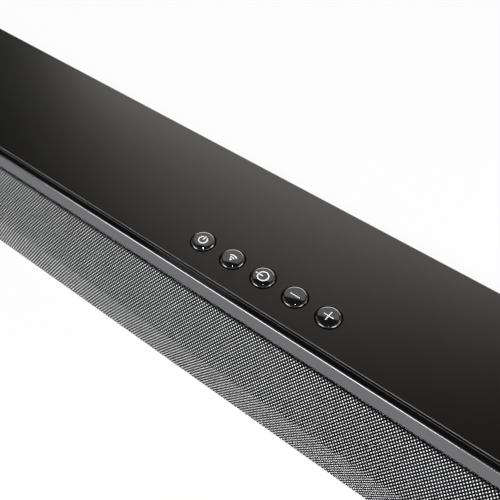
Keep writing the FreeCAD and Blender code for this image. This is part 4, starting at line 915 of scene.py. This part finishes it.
def screw(head_radius, head, shank_radius, length, pitch, count):
    """Rings of a screw whose head's top is at the origin and whose shank goes down.

    The head's dome falls with the radius squared. The recess sinks where either arm of a cross covers the
    point.
    """
    head_share = np.array(HEAD_STATIONS)
    head_z = -HEAD_DOME * head * head_share ** 2
    head_z[-len(HEAD_RIM):] = -head * np.array(HEAD_RIM)
    rows_down = int(THREAD_ROWS * (length - TIP_LENGTH) / pitch) + 1
    thread_z = -head - np.linspace(0, length - TIP_LENGTH, rows_down)
    profile = np.concatenate([
        np.stack([head_radius * head_share, head_z], axis=1),
        np.stack([np.full(rows_down, shank_radius), thread_z], axis=1),
        [(TIP_WIDE * shank_radius, -head - length + TIP_TAPER * TIP_LENGTH),
         (TIP_POINT * shank_radius, -head - length)]])
    rings = turned(profile, count)
    top = rings[:len(HEAD_STATIONS) - 2]
    reach = np.abs(top[..., :2]) / head_radius
    cover = [np.clip((RECESS_REACH - reach[..., a]) / RECESS_SOFT + 0.5, 0, 1)
             * np.clip((RECESS_HALF_WIDTH - reach[..., 1 - a]) / RECESS_SOFT + 0.5, 0, 1) for a in (0, 1)]
    top[..., 2] -= RECESS_DEPTH * head * np.maximum(cover[0], cover[1])
    thread(rings[len(HEAD_STATIONS) + 1:-2], pitch, THREAD_SHARE)
    return rings


def drive_screws(name, node, way, sizes, material, reach, sides=32):
    """Puts a screw in the place of each of a node's plain ones, its head facing the given way.

    reach is more than a screw's length and less than the space between two.
    """
    axes = axes_facing(way)
    spots = spots_along(node, reach, axes)
    rings = screw(*sizes, sides)
    faces = faces_of_copies(closed_faces(len(rings), sides), len(spots), rings.size // 3)
    screws = add_piece(name, set_at(rings, spots, axes), faces, material, "housing", smooth_angle=35.0)
    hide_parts(node)


screw_black = moulded("screw_black", SCREW_BLACK, SCREW_RUBBED, rough=(0.34, 0.1), grain=(6000.0, 2e-6),
                      patches=900.0, metal=0.8)
bright_steel = moulded("bright_steel", STEEL, STEEL_CLOUD, rough=(0.24, 0.12), grain=(4000.0, 2e-6),
                       patches=90.0, metal=1.0)
draw_lines(bright_steel, shares=(0.02, 1.0, 1.0), lines=2600.0, change=0.16)
front_way = (0.0, -math.sin(FRONT_LEAN), math.cos(FRONT_LEAN))
drive_screws("case_screw_threads", "case_screws", (0, 0, -1), CASE_SCREW,
             screw_black, reach=0.025, sides=40)
drive_screws("driver_screw_threads", "driver_screws", front_way, DRIVER_SCREW,
             screw_black, reach=0.008)
drive_screws("button_board_screw_threads", "button_board_screws", (0, 0, -1), BUTTON_BOARD_SCREW,
             screw_black, reach=0.010)
drive_screws("board_screw_threads", "board_screws", (0, 0, 1), BOARD_SCREW,
             bright_steel, reach=0.012)

# ---- wall hangers and bracket inserts ----
# Rolled steel plates with a keyhole, staked behind windows in the back, and brass bushes with an inner
# thread, moulded into it.
HANGER_ZINC = (0.30, 0.31, 0.33, 1.0)
HANGER_DULL = (0.22, 0.23, 0.25, 1.0)
BRASS = (0.62, 0.44, 0.20, 1.0)
BRASS_DULL = (0.50, 0.35, 0.17, 1.0)
BUSH_RADIUS = 0.004
BUSH_BORE = 0.0025
BUSH_LENGTH = 0.009
BUSH_CHAMFER = 0.0004
BUSH_PITCH = 0.0008
BUSH_THREAD_SHARE = 0.12
BUSH_THREAD_STATIONS = 42
BUSH_SIDES = 40
BUSH_REACH = 0.014


def looped_faces(stations, count):
    """Faces of a row of rings whose last station joins the first."""
    quads = ring_quads(stations + 1, count) % (stations * count)
    return quads.reshape(-1, 4).tolist()


zinc_plate = moulded("zinc_plate", HANGER_ZINC, HANGER_DULL, rough=(0.42, 0.1), grain=(2500.0, 3e-6),
                     patches=150.0, metal=1.0)
dress(zinc_plate, "wall_hanger_plates")

brass = moulded("brass", BRASS, BRASS_DULL, rough=(0.26, 0.12), grain=(4000.0, 2e-6),
                patches=300.0, metal=1.0)
bush_thread_z = np.linspace(BUSH_CHAMFER - BUSH_LENGTH, -BUSH_CHAMFER, BUSH_THREAD_STATIONS)
bush_outside = [(BUSH_BORE + BUSH_CHAMFER, 0.0), (BUSH_RADIUS - BUSH_CHAMFER, 0.0),
                (BUSH_RADIUS, -BUSH_CHAMFER), (BUSH_RADIUS, -BUSH_LENGTH),
                (BUSH_BORE + BUSH_CHAMFER, -BUSH_LENGTH)]
bush_inside = np.stack([np.full(BUSH_THREAD_STATIONS, BUSH_BORE), bush_thread_z], axis=1)
bush_rings = turned(np.concatenate([bush_outside, bush_inside]), BUSH_SIDES)
thread(bush_rings[len(bush_outside):], BUSH_PITCH, BUSH_THREAD_SHARE)
facing_back = axes_facing((0, 1, 0))
bush_spots = spots_along("bracket_inserts", BUSH_REACH, facing_back)
bush_faces = looped_faces(len(bush_rings), BUSH_SIDES)
bushes = add_piece("threaded_inserts", set_at(bush_rings, bush_spots, facing_back),
                   faces_of_copies(bush_faces, len(bush_spots), bush_rings.size // 3),
                   brass, "housing", smooth_angle=35.0)
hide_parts("bracket_inserts")

# ---- woofers and tweeters ----
# Pulp cones on rubber half-rolls, copper coils on formers, ferrite magnets between zinc-plated steel,
# and doped silk domes in moulded faceplates. Each surround is glued to its basket and its cone.
PAPER_BLACK = (0.020, 0.019, 0.018, 1.0)
PAPER_FIBRE = (0.070, 0.068, 0.064, 1.0)
SURROUND_BLACK = (0.011, 0.011, 0.0115, 1.0)
SURROUND_CHALK = (0.018, 0.018, 0.0185, 1.0)
COPPER = (0.80, 0.40, 0.25, 1.0)
COPPER_DARK = (0.45, 0.18, 0.10, 1.0)
FORMER = (0.42, 0.26, 0.10, 1.0)
WIRE_PITCH = 0.00028
WIRE_EDGES = (-0.6, 0.4)
WIRE_RELIEF = 5e-5
WINDING_LENGTH = 0.0062
FERRITE = (0.045, 0.045, 0.047, 1.0)
FERRITE_CLOUD = (0.060, 0.060, 0.062, 1.0)
MAGNET_ZINC = (0.52, 0.52, 0.54, 1.0)
PLATE = 0.002
SILK_BLACK = (0.014, 0.013, 0.0125, 1.0)
SILK_THREAD = (0.055, 0.052, 0.050, 1.0)
SILK_PITCH = 0.00045
SILK_EDGES = (-0.2, 0.9)
SILK_RELIEF = 3e-5
ROLL_RADIUS = 0.003
ROLL_WALL = 0.0005
ROLL_ARC_STATIONS = 13
END_LENGTHS = 8
END_STATIONS = 5


def reach_along(node, way):
    """Lowest and highest point of a node along a direction."""
    along = node_points(node) @ np.array(way)
    return float(along.min()), float(along.max())


def along_driver(tree):
    """Object coordinates measured along the drivers' axis."""
    place_node = tree.nodes.new("ShaderNodeTexCoord")
    dot = tree.nodes.new("ShaderNodeVectorMath")
    dot.operation = "DOT_PRODUCT"
    dot.inputs[1].default_value = front_way
    link(tree, place_node.outputs["Object"], dot.inputs[0])
    return dot.outputs["Value"]


cone_paper = moulded("cone_paper", PAPER_BLACK, PAPER_FIBRE, rough=(0.78, 0.1), grain=(900.0, 6e-5),
                     patches=700.0)
dress(cone_paper, "left_woofer_cone", "right_woofer_cone")

# Each surround is made in lengths round its edge.
surround_rubber = moulded("surround_rubber", SURROUND_BLACK, SURROUND_CHALK, rough=(0.55, 0.15),
                          grain=(2600.0, 1e-5), patches=60.0)
roll_arc = np.linspace(0.0, math.pi, ROLL_ARC_STATIONS)
roll_line = np.stack([np.cos(roll_arc), np.sin(roll_arc)], axis=1)
roll_section = np.concatenate([ROLL_RADIUS * roll_line, (ROLL_RADIUS - ROLL_WALL) * roll_line[::-1]])
roll_ring = len(roll_section)
driver_axes = axes_facing(front_way)


def roll_faces(stations):
    """Faces of one length of a roll, with its two cut ends closed by strips between arc and arc."""
    cut = np.array([(k, k + 1, roll_ring - 2 - k, roll_ring - 1 - k) for k in range(len(roll_arc) - 1)])
    last = (stations - 1) * roll_ring
    skin = ring_quads(stations, roll_ring).reshape(-1, 4)
    return skin.tolist() + cut[:, ::-1].tolist() + (cut + last).tolist()


def surround_lengths():
    """Each length's side at its first and last station, and the outward angle at each of the two.

    A side is -1 at the left end of the racetrack and 1 at its right end. Seen from the front, the lengths
    go clockwise from the top left.
    """
    lengths = []
    for side in (1, -1):
        turns = side * math.pi / 2 - np.linspace(0.0, math.pi, END_LENGTHS + 1)
        lengths.append((-side, side, turns[0], turns[0]))
        lengths += [(side, side, turns[k], turns[k + 1]) for k in range(END_LENGTHS)]
    return lengths


def roll_stations(half_run, outer, side_from, side_to, turn_from, turn_to):
    """Rings of one length: the roll's section carried along a straight, or turned about an end's middle.

    half_run is half the straight's length, and outer the surround's outer radius at its ends.
    """
    share = np.linspace(0.0, 1.0, 2 if side_from != side_to else END_STATIONS)[:, None]
    turn = turn_from + share * (turn_to - turn_from)
    along_bar = half_run * (side_from + share * (side_to - side_from))
    radius = outer - ROLL_RADIUS + roll_section[:, 0]
    return np.stack(np.broadcast_arrays(
        along_bar + radius * np.cos(turn), radius * np.sin(turn), roll_section[:, 1]), axis=-1)


for side_name in ("left", "right"):
    node = side_name + "_woofer_surround"
    reach = np.array([reach_along(node, way) for way in driver_axes])
    roll_middle = reach.mean(axis=1)
    roll_middle[2] = reach[2, 0]
    outer = (reach[1, 1] - reach[1, 0]) / 2
    half_run = (reach[0, 1] - reach[0, 0]) / 2 - outer
    for number, (side_from, side_to, turn_from, turn_to) in enumerate(surround_lengths()):
        rings = roll_stations(half_run, outer, side_from, side_to, turn_from, turn_to)
        piece = add_piece(f"{node}_{number + 1}", (rings + roll_middle) @ driver_axes, roll_faces(len(rings)),
                          surround_rubber, None)
        facing = (turn_from + turn_to) / 2
        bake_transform(piece)
        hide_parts(node)

coil_copper = moulded("coil_copper", FORMER, FORMER, rough=(0.35, 0.1), grain=(3000.0, 2e-6), patches=500.0)
coil_tree = coil_copper.node_tree
coil_along = along_driver(coil_tree)
coil_end = reach_along("left_voice_coil", front_way)[0]
wound = arithmetic(coil_tree, "LESS_THAN", coil_along, coil_end + WINDING_LENGTH)
wires = arithmetic(coil_tree, "COSINE", times(coil_tree, coil_along, 2 * math.pi / WIRE_PITCH))
wire_colour = blend_colour(coil_tree, spread(coil_tree, wires, *WIRE_EDGES), COPPER_DARK, COPPER)
recolour(coil_copper, wound, wire_colour)
turn_metal(coil_copper, wound)
relief(coil_copper, times(coil_tree, wires, wound), WIRE_RELIEF)
dress(coil_copper, "left_voice_coil", "right_voice_coil")

magnet_finish = moulded("ferrite_and_zinc", FERRITE, FERRITE_CLOUD, rough=(0.5, 0.1), grain=(1600.0, 2e-5),
                        patches=200.0)
magnet_tree = magnet_finish.node_tree
magnet_along = along_driver(magnet_tree)
magnet_low, magnet_high = reach_along("woofer_magnets", front_way)
on_plate = arithmetic(magnet_tree, "ADD",
                      arithmetic(magnet_tree, "GREATER_THAN", magnet_along, magnet_high - PLATE),
                      arithmetic(magnet_tree, "LESS_THAN", magnet_along, magnet_low + PLATE))
recolour(magnet_finish, on_plate, MAGNET_ZINC)
resmooth(magnet_finish, on_plate, change=-0.2)
turn_metal(magnet_finish, on_plate)
dress(magnet_finish, "woofer_magnets")

dome_silk = moulded("dome_silk", SILK_BLACK, SILK_BLACK, rough=(0.42, 0.15), grain=(1500.0, 1e-5),
                    patches=200.0)
silk_tree = dome_silk.node_tree
silk_axes = object_axes(silk_tree)
silk_warp = arithmetic(silk_tree, "SINE", times(silk_tree, silk_axes["X"], 2 * math.pi / SILK_PITCH))
silk_weft = arithmetic(silk_tree, "SINE", times(silk_tree, silk_axes["Z"], 2 * math.pi / SILK_PITCH))
silk_knots = times(silk_tree, silk_warp, silk_weft)
recolour(dome_silk, spread(silk_tree, silk_knots, *SILK_EDGES), SILK_THREAD)
relief(dome_silk, silk_knots, SILK_RELIEF)
dress(dome_silk, "left_tweeter_dome", "right_tweeter_dome")

# ---- boards and what stands on them ----
# Glass-fibre boards under green solder mask that shows the copper tracks beneath, black chips with
# tinned legs, rows of small soldered parts, sleeved cans, and a ferrite core with a taped winding.
MASK_GREEN = (0.008, 0.075, 0.030, 1.0)
MASK_CLOUD = (0.010, 0.085, 0.036, 1.0)
TRACK_GREEN = (0.030, 0.150, 0.060, 1.0)
TRACK_PITCH = 260.0
TRACK_SHAPE = {"Mortar Size": 0.05, "Brick Width": 2.2, "Row Height": 0.4}
TRACK_PATCHES = 120.0
TRACK_EDGES = (0.48, 0.52)
TRACK_RELIEF = 2e-5
CHIP_BLACK = (0.018, 0.018, 0.019, 1.0)
CHIP_CLOUD = (0.024, 0.024, 0.025, 1.0)
TIN = (0.70, 0.70, 0.69, 1.0)
TIN_DULL = (0.58, 0.58, 0.57, 1.0)
LEG_PITCH = 0.00095
LEG_WIDTH = 0.00035
LEG_THICK = 0.00012
LEG_PATH = ((-0.0002, 0.0007), (0.0004, 0.0007), (0.0006, 0.0001), (0.0012, 0.0001))
SMALL_PART = np.array((0.0018, 0.0010, 0.0006))
SMALL_PART_END = np.array((0.00035, 0.0, 0.0))
SMALL_PART_PROUD = np.array((0.0, 0.00005, 0.0))
SMALL_PART_BEVEL = 8e-5
PART_END_BEVEL = 6e-5
# Each row: its first place along the bar, its end, its pitch, and its place across the bar.
SMALL_PART_ROWS = ((0.014, 0.072, 0.0035, 0.0095), (0.016, 0.070, 0.0035, 0.0135),
                   (0.073, 0.093, 0.0030, -0.0085))
SLEEVE_BLUE = (0.020, 0.045, 0.140, 1.0)
SLEEVE_CLOUD = (0.024, 0.052, 0.155, 1.0)
CAN_TOP = (0.72, 0.72, 0.73, 1.0)
CAN_TOP_LEVEL = 0.9
TAPE_YELLOW = (0.72, 0.50, 0.06, 1.0)
CORE_GREY = (0.050, 0.050, 0.052, 1.0)
WINDING_PROUD = 0.0029
ALUMINIUM = (0.78, 0.78, 0.79, 1.0)
ALUMINIUM_DULL = (0.68, 0.68, 0.69, 1.0)

board_green = moulded("board_green", MASK_GREEN, MASK_CLOUD, rough=(0.30, 0.06), grain=(2500.0, 3e-6),
                      patches=40.0)
board_tree = board_green.node_tree
board_place = board_tree.nodes.new("ShaderNodeTexCoord")
tracks = board_tree.nodes.new("ShaderNodeTexBrick")
tracks.inputs["Scale"].default_value = TRACK_PITCH
for label, value in TRACK_SHAPE.items():
    tracks.inputs[label].default_value = value
link(board_tree, board_place.outputs["Object"], tracks.inputs["Vector"])
track_patches = clouds(board_tree, board_place.outputs["Object"], TRACK_PATCHES)
on_track = times(board_tree, tracks.outputs["Fac"], spread(board_tree, track_patches, *TRACK_EDGES))
recolour(board_green, on_track, TRACK_GREEN)
settle_dust(board_green, amount=0.12)
relief(board_green, on_track, TRACK_RELIEF)
dress(board_green, "main_board", "power_supply_board", "button_board")

chip_black = moulded("chip_black", CHIP_BLACK, CHIP_CLOUD, rough=(0.50, 0.08), grain=(5000.0, 6e-6),
                     patches=300.0)
settle_dust(chip_black, amount=0.10)
dress(chip_black, "amplifier_chip", "processor_chip", "button_switches",
      *[name + "_switch_plunger" for name in BUTTONS])
dress(bright_steel, "wireless_module")

tinned = moulded("tinned", TIN, TIN_DULL, rough=(0.28, 0.12), grain=(5000.0, 2e-6), patches=600.0, metal=1.0)


def gull_leg():
    """Rings of one bent leg: a flat section carried out of the chip, down, and out along the board."""
    path = np.array(LEG_PATH)
    half = LEG_WIDTH / 2
    sides = np.array([half, -half, -half, half])
    lift = np.array([LEG_THICK, LEG_THICK, 0.0, 0.0])
    return np.stack(np.broadcast_arrays(path[:, :1], sides[None], path[:, 1:] + lift[None]), axis=-1)


def add_legs(name, node, sides):
    """Rows of legs along the given sides of a chip: 0 is its right, 1 its rear, and so on round."""
    low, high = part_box(node)
    half = ((high.x - low.x) / 2, (high.y - low.y) / 2)
    foot = middle(node)
    foot.z = low.z
    leg = gull_leg()
    points = []
    for side in sides:
        turn = side * math.pi / 2
        out = np.array((math.cos(turn), math.sin(turn), 0.0))
        beside = np.array((-out[1], out[0], 0.0))
        spare = half[1 - side % 2] - LEG_PITCH
        places = np.arange(-spare, spare + LEG_PITCH / 2, LEG_PITCH)
        origins = np.array(foot) + out * half[side % 2] + places[:, None] * beside
        points.append(set_at(leg, origins, np.array([out, beside, (0.0, 0.0, 1.0)])))
    points = np.concatenate(points)
    faces = faces_of_copies(closed_faces(len(LEG_PATH), 4), len(points), points.shape[1])
    add_piece(name, points, faces, tinned, "housing")


def blocks(name, lows, highs, material, bevel):
    """Many small blocks, each from its lowest and highest corner, with softened edges."""
    lows = np.asarray(lows, float)
    highs = np.asarray(highs, float)
    pick = np.array([(a, b, c) for a in (0, 1) for b, c in ((0, 1), (0, 0), (1, 0), (1, 1))])
    corners = np.where(pick[None] == 1, highs[:, None], lows[:, None])
    faces = faces_of_copies(closed_faces(2, 4), len(lows), 8)
    piece = add_piece(name, corners, faces, material, "housing", smooth_angle=60.0)
    rounding = piece.modifiers.new("softened_edges", "BEVEL")
    rounding.width = bevel
    rounding.segments = 2


add_legs("processor_legs", "processor_chip", (0, 1, 2, 3))
add_legs("amplifier_legs", "amplifier_chip", (0, 2))

# Small soldered parts stand in rows clear of the sockets, the sink and the cans.
board_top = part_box("main_board")[1].z
small_low = np.array([(x, y, board_top) for start, end, pitch, y in SMALL_PART_ROWS
                      for x in np.arange(start, end, pitch)])
blocks("small_part_bodies", small_low + SMALL_PART_END, small_low + SMALL_PART - SMALL_PART_END,
       chip_black, SMALL_PART_BEVEL)
left_low = small_low - SMALL_PART_PROUD
left_high = small_low + SMALL_PART * (0, 1, 1) + SMALL_PART_END + SMALL_PART_PROUD
right_low = small_low + SMALL_PART * (1, 0, 0) - SMALL_PART_END - SMALL_PART_PROUD
right_high = small_low + SMALL_PART + SMALL_PART_PROUD
blocks("small_part_ends", np.concatenate([left_low, right_low]), np.concatenate([left_high, right_high]),
       tinned, PART_END_BEVEL)

can_sleeve = moulded("can_sleeve", SLEEVE_BLUE, SLEEVE_CLOUD, rough=(0.30, 0.06), grain=(2500.0, 3e-6),
                     patches=80.0)
can_tree = can_sleeve.node_tree
can_normal = can_tree.nodes.new("ShaderNodeTexCoord")
can_up = can_tree.nodes.new("ShaderNodeSeparateXYZ")
link(can_tree, can_normal.outputs["Normal"], can_up.inputs[0])
can_top = arithmetic(can_tree, "GREATER_THAN", can_up.outputs["Z"], CAN_TOP_LEVEL)
recolour(can_sleeve, can_top, CAN_TOP)
turn_metal(can_sleeve, can_top)
dress(can_sleeve, "board_capacitors", "supply_capacitors")

core_tape = moulded("core_and_tape", CORE_GREY, FERRITE_CLOUD, rough=(0.55, 0.1), grain=(1800.0, 1e-5),
                    patches=150.0)
core_low, core_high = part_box("mains_transformer")
core_band = band_of(core_tape, {"Front Y": core_low.y + WINDING_PROUD, "Rear Y": core_high.y - WINDING_PROUD})
taped = arithmetic(core_tape.node_tree, "SUBTRACT", 1.0, core_band)
recolour(core_tape, taped, TAPE_YELLOW)
resmooth(core_tape, taped, change=-0.2)
dress(core_tape, "mains_transformer")

aluminium = moulded("aluminium", ALUMINIUM, ALUMINIUM_DULL, rough=(0.30, 0.08), grain=(3000.0, 2e-6),
                    patches=90.0, metal=1.0)
draw_lines(aluminium, shares=(1.0, 0.02, 1.0), lines=2600.0, change=0.14)
settle_dust(aluminium, amount=0.12)
dress(aluminium, "heat_sink")

# ---- sockets ----
# A flat digital socket, pressed in bright steel, with its tongue and contacts, an optical socket with its
# lens, a round jack with a bright ring, and a two-pin inlet. The other bodies are black plastic.
SOCKET_BLACK = (0.014, 0.014, 0.0145, 1.0)
SOCKET_CLOUD = (0.018, 0.018, 0.0185, 1.0)
GOLD = (0.83, 0.62, 0.28, 1.0)
GOLD_DULL = (0.72, 0.52, 0.24, 1.0)
LENS_RED = (0.10, 0.012, 0.010, 1.0)
TONGUE = (0.0120, 0.0085, 0.0010)
TONGUE_REACH = 0.0115
TONGUE_BEVEL = 2e-4
CONTACT_COUNT = 9
CONTACT_PITCH = 0.0012
CONTACT_BACK = 0.0008
CONTACT = (0.0006, 0.0065, 0.00015)
CONTACT_BEVEL = 5e-5
JACK_RING_RADIUS = 0.0030
JACK_BORE = 0.0018
JACK_RING_DEEP = 0.002
JACK_SIDES = 48
RING_ROUND = 0.0004
RING_STATIONS = 9
LENS_RADIUS = 0.0016
LENS_RISE = 0.0008
LENS_EDGE = 0.0004
LENS_SUNK = 0.0090
LENS_EYE = (0.06, 0.0001)
LENS_SIDES = 32

socket_black = moulded("socket_black", SOCKET_BLACK, SOCKET_CLOUD, rough=(0.38, 0.08), grain=(2600.0, 8e-6),
                       patches=90.0)
dress(socket_black, "optical_socket", "line_in_jack", "power_inlet")
dress(bright_steel, "video_socket", "power_inlet_pins")
gold = moulded("gold_contacts", GOLD, GOLD_DULL, rough=(0.2, 0.1), grain=(5000.0, 1e-6), patches=700.0,
               metal=1.0)

video_middle = middle("video_socket")
video_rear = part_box("video_socket")[1].y
tongue_low = np.array((video_middle.x - TONGUE[0] / 2, video_rear - TONGUE_REACH,
                       video_middle.z - TONGUE[2] / 2))
tongue_high = tongue_low + TONGUE
blocks("video_tongue", [tongue_low], [tongue_high], socket_black, TONGUE_BEVEL)
from_centre = (np.arange(CONTACT_COUNT) - (CONTACT_COUNT - 1) / 2) * CONTACT_PITCH
contact_low = np.stack([video_middle.x + from_centre - CONTACT[0] / 2,
                        np.full(CONTACT_COUNT, tongue_high[1] - CONTACT[1] - CONTACT_BACK),
                        np.full(CONTACT_COUNT, tongue_high[2] - CONTACT[2] / 2)], axis=1)
blocks("video_contacts", contact_low, contact_low + CONTACT, gold, CONTACT_BEVEL)


def rear_face(node, sunk=0.0):
    """The middle of a node's rear face, or a point sunk in front of it."""
    spot = middle(node)
    spot.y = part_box(node)[1].y - sunk
    return [tuple(spot)]


# The ring's lip is half an ellipse from its bore to its rim.
ring_angle = np.linspace(0, math.pi, RING_STATIONS)
lip_middle = (JACK_BORE + JACK_RING_RADIUS) / 2
lip_half = (JACK_RING_RADIUS - JACK_BORE) / 2
ring_lip = np.stack([lip_middle - lip_half * np.cos(ring_angle), RING_ROUND * np.sin(ring_angle)], axis=1)
ring_profile = np.concatenate([
    [(JACK_BORE, -JACK_RING_DEEP)], ring_lip, [(JACK_RING_RADIUS, -JACK_RING_DEEP)]])
jack_ring = turned(ring_profile, JACK_SIDES)
add_piece("jack_ring", set_at(jack_ring, rear_face("line_in_jack"), facing_back),
          looped_faces(len(ring_profile), JACK_SIDES), bright_steel, "housing",
          smooth_angle=50.0)

# The lens is a quarter ellipse turned round its middle, on a short drum.
lens_glass = moulded("lens_glass", LENS_RED, LENS_RED, rough=(0.08, 0.02), grain=(2000.0, 1e-7))
lens_angle = np.linspace(LENS_EYE[0], math.pi / 2, RING_STATIONS)
lens_profile = np.concatenate([
    np.stack([LENS_RADIUS * np.sin(lens_angle), LENS_RISE * np.cos(lens_angle)], axis=1),
    [(LENS_RADIUS, -LENS_EDGE), (LENS_EYE[1], -LENS_EDGE)]])
lens_rings = turned(lens_profile, LENS_SIDES)
add_piece("optical_lens", set_at(lens_rings, rear_face("optical_socket", LENS_SUNK), facing_back),
          closed_faces(len(lens_profile), LENS_SIDES), lens_glass, "housing")
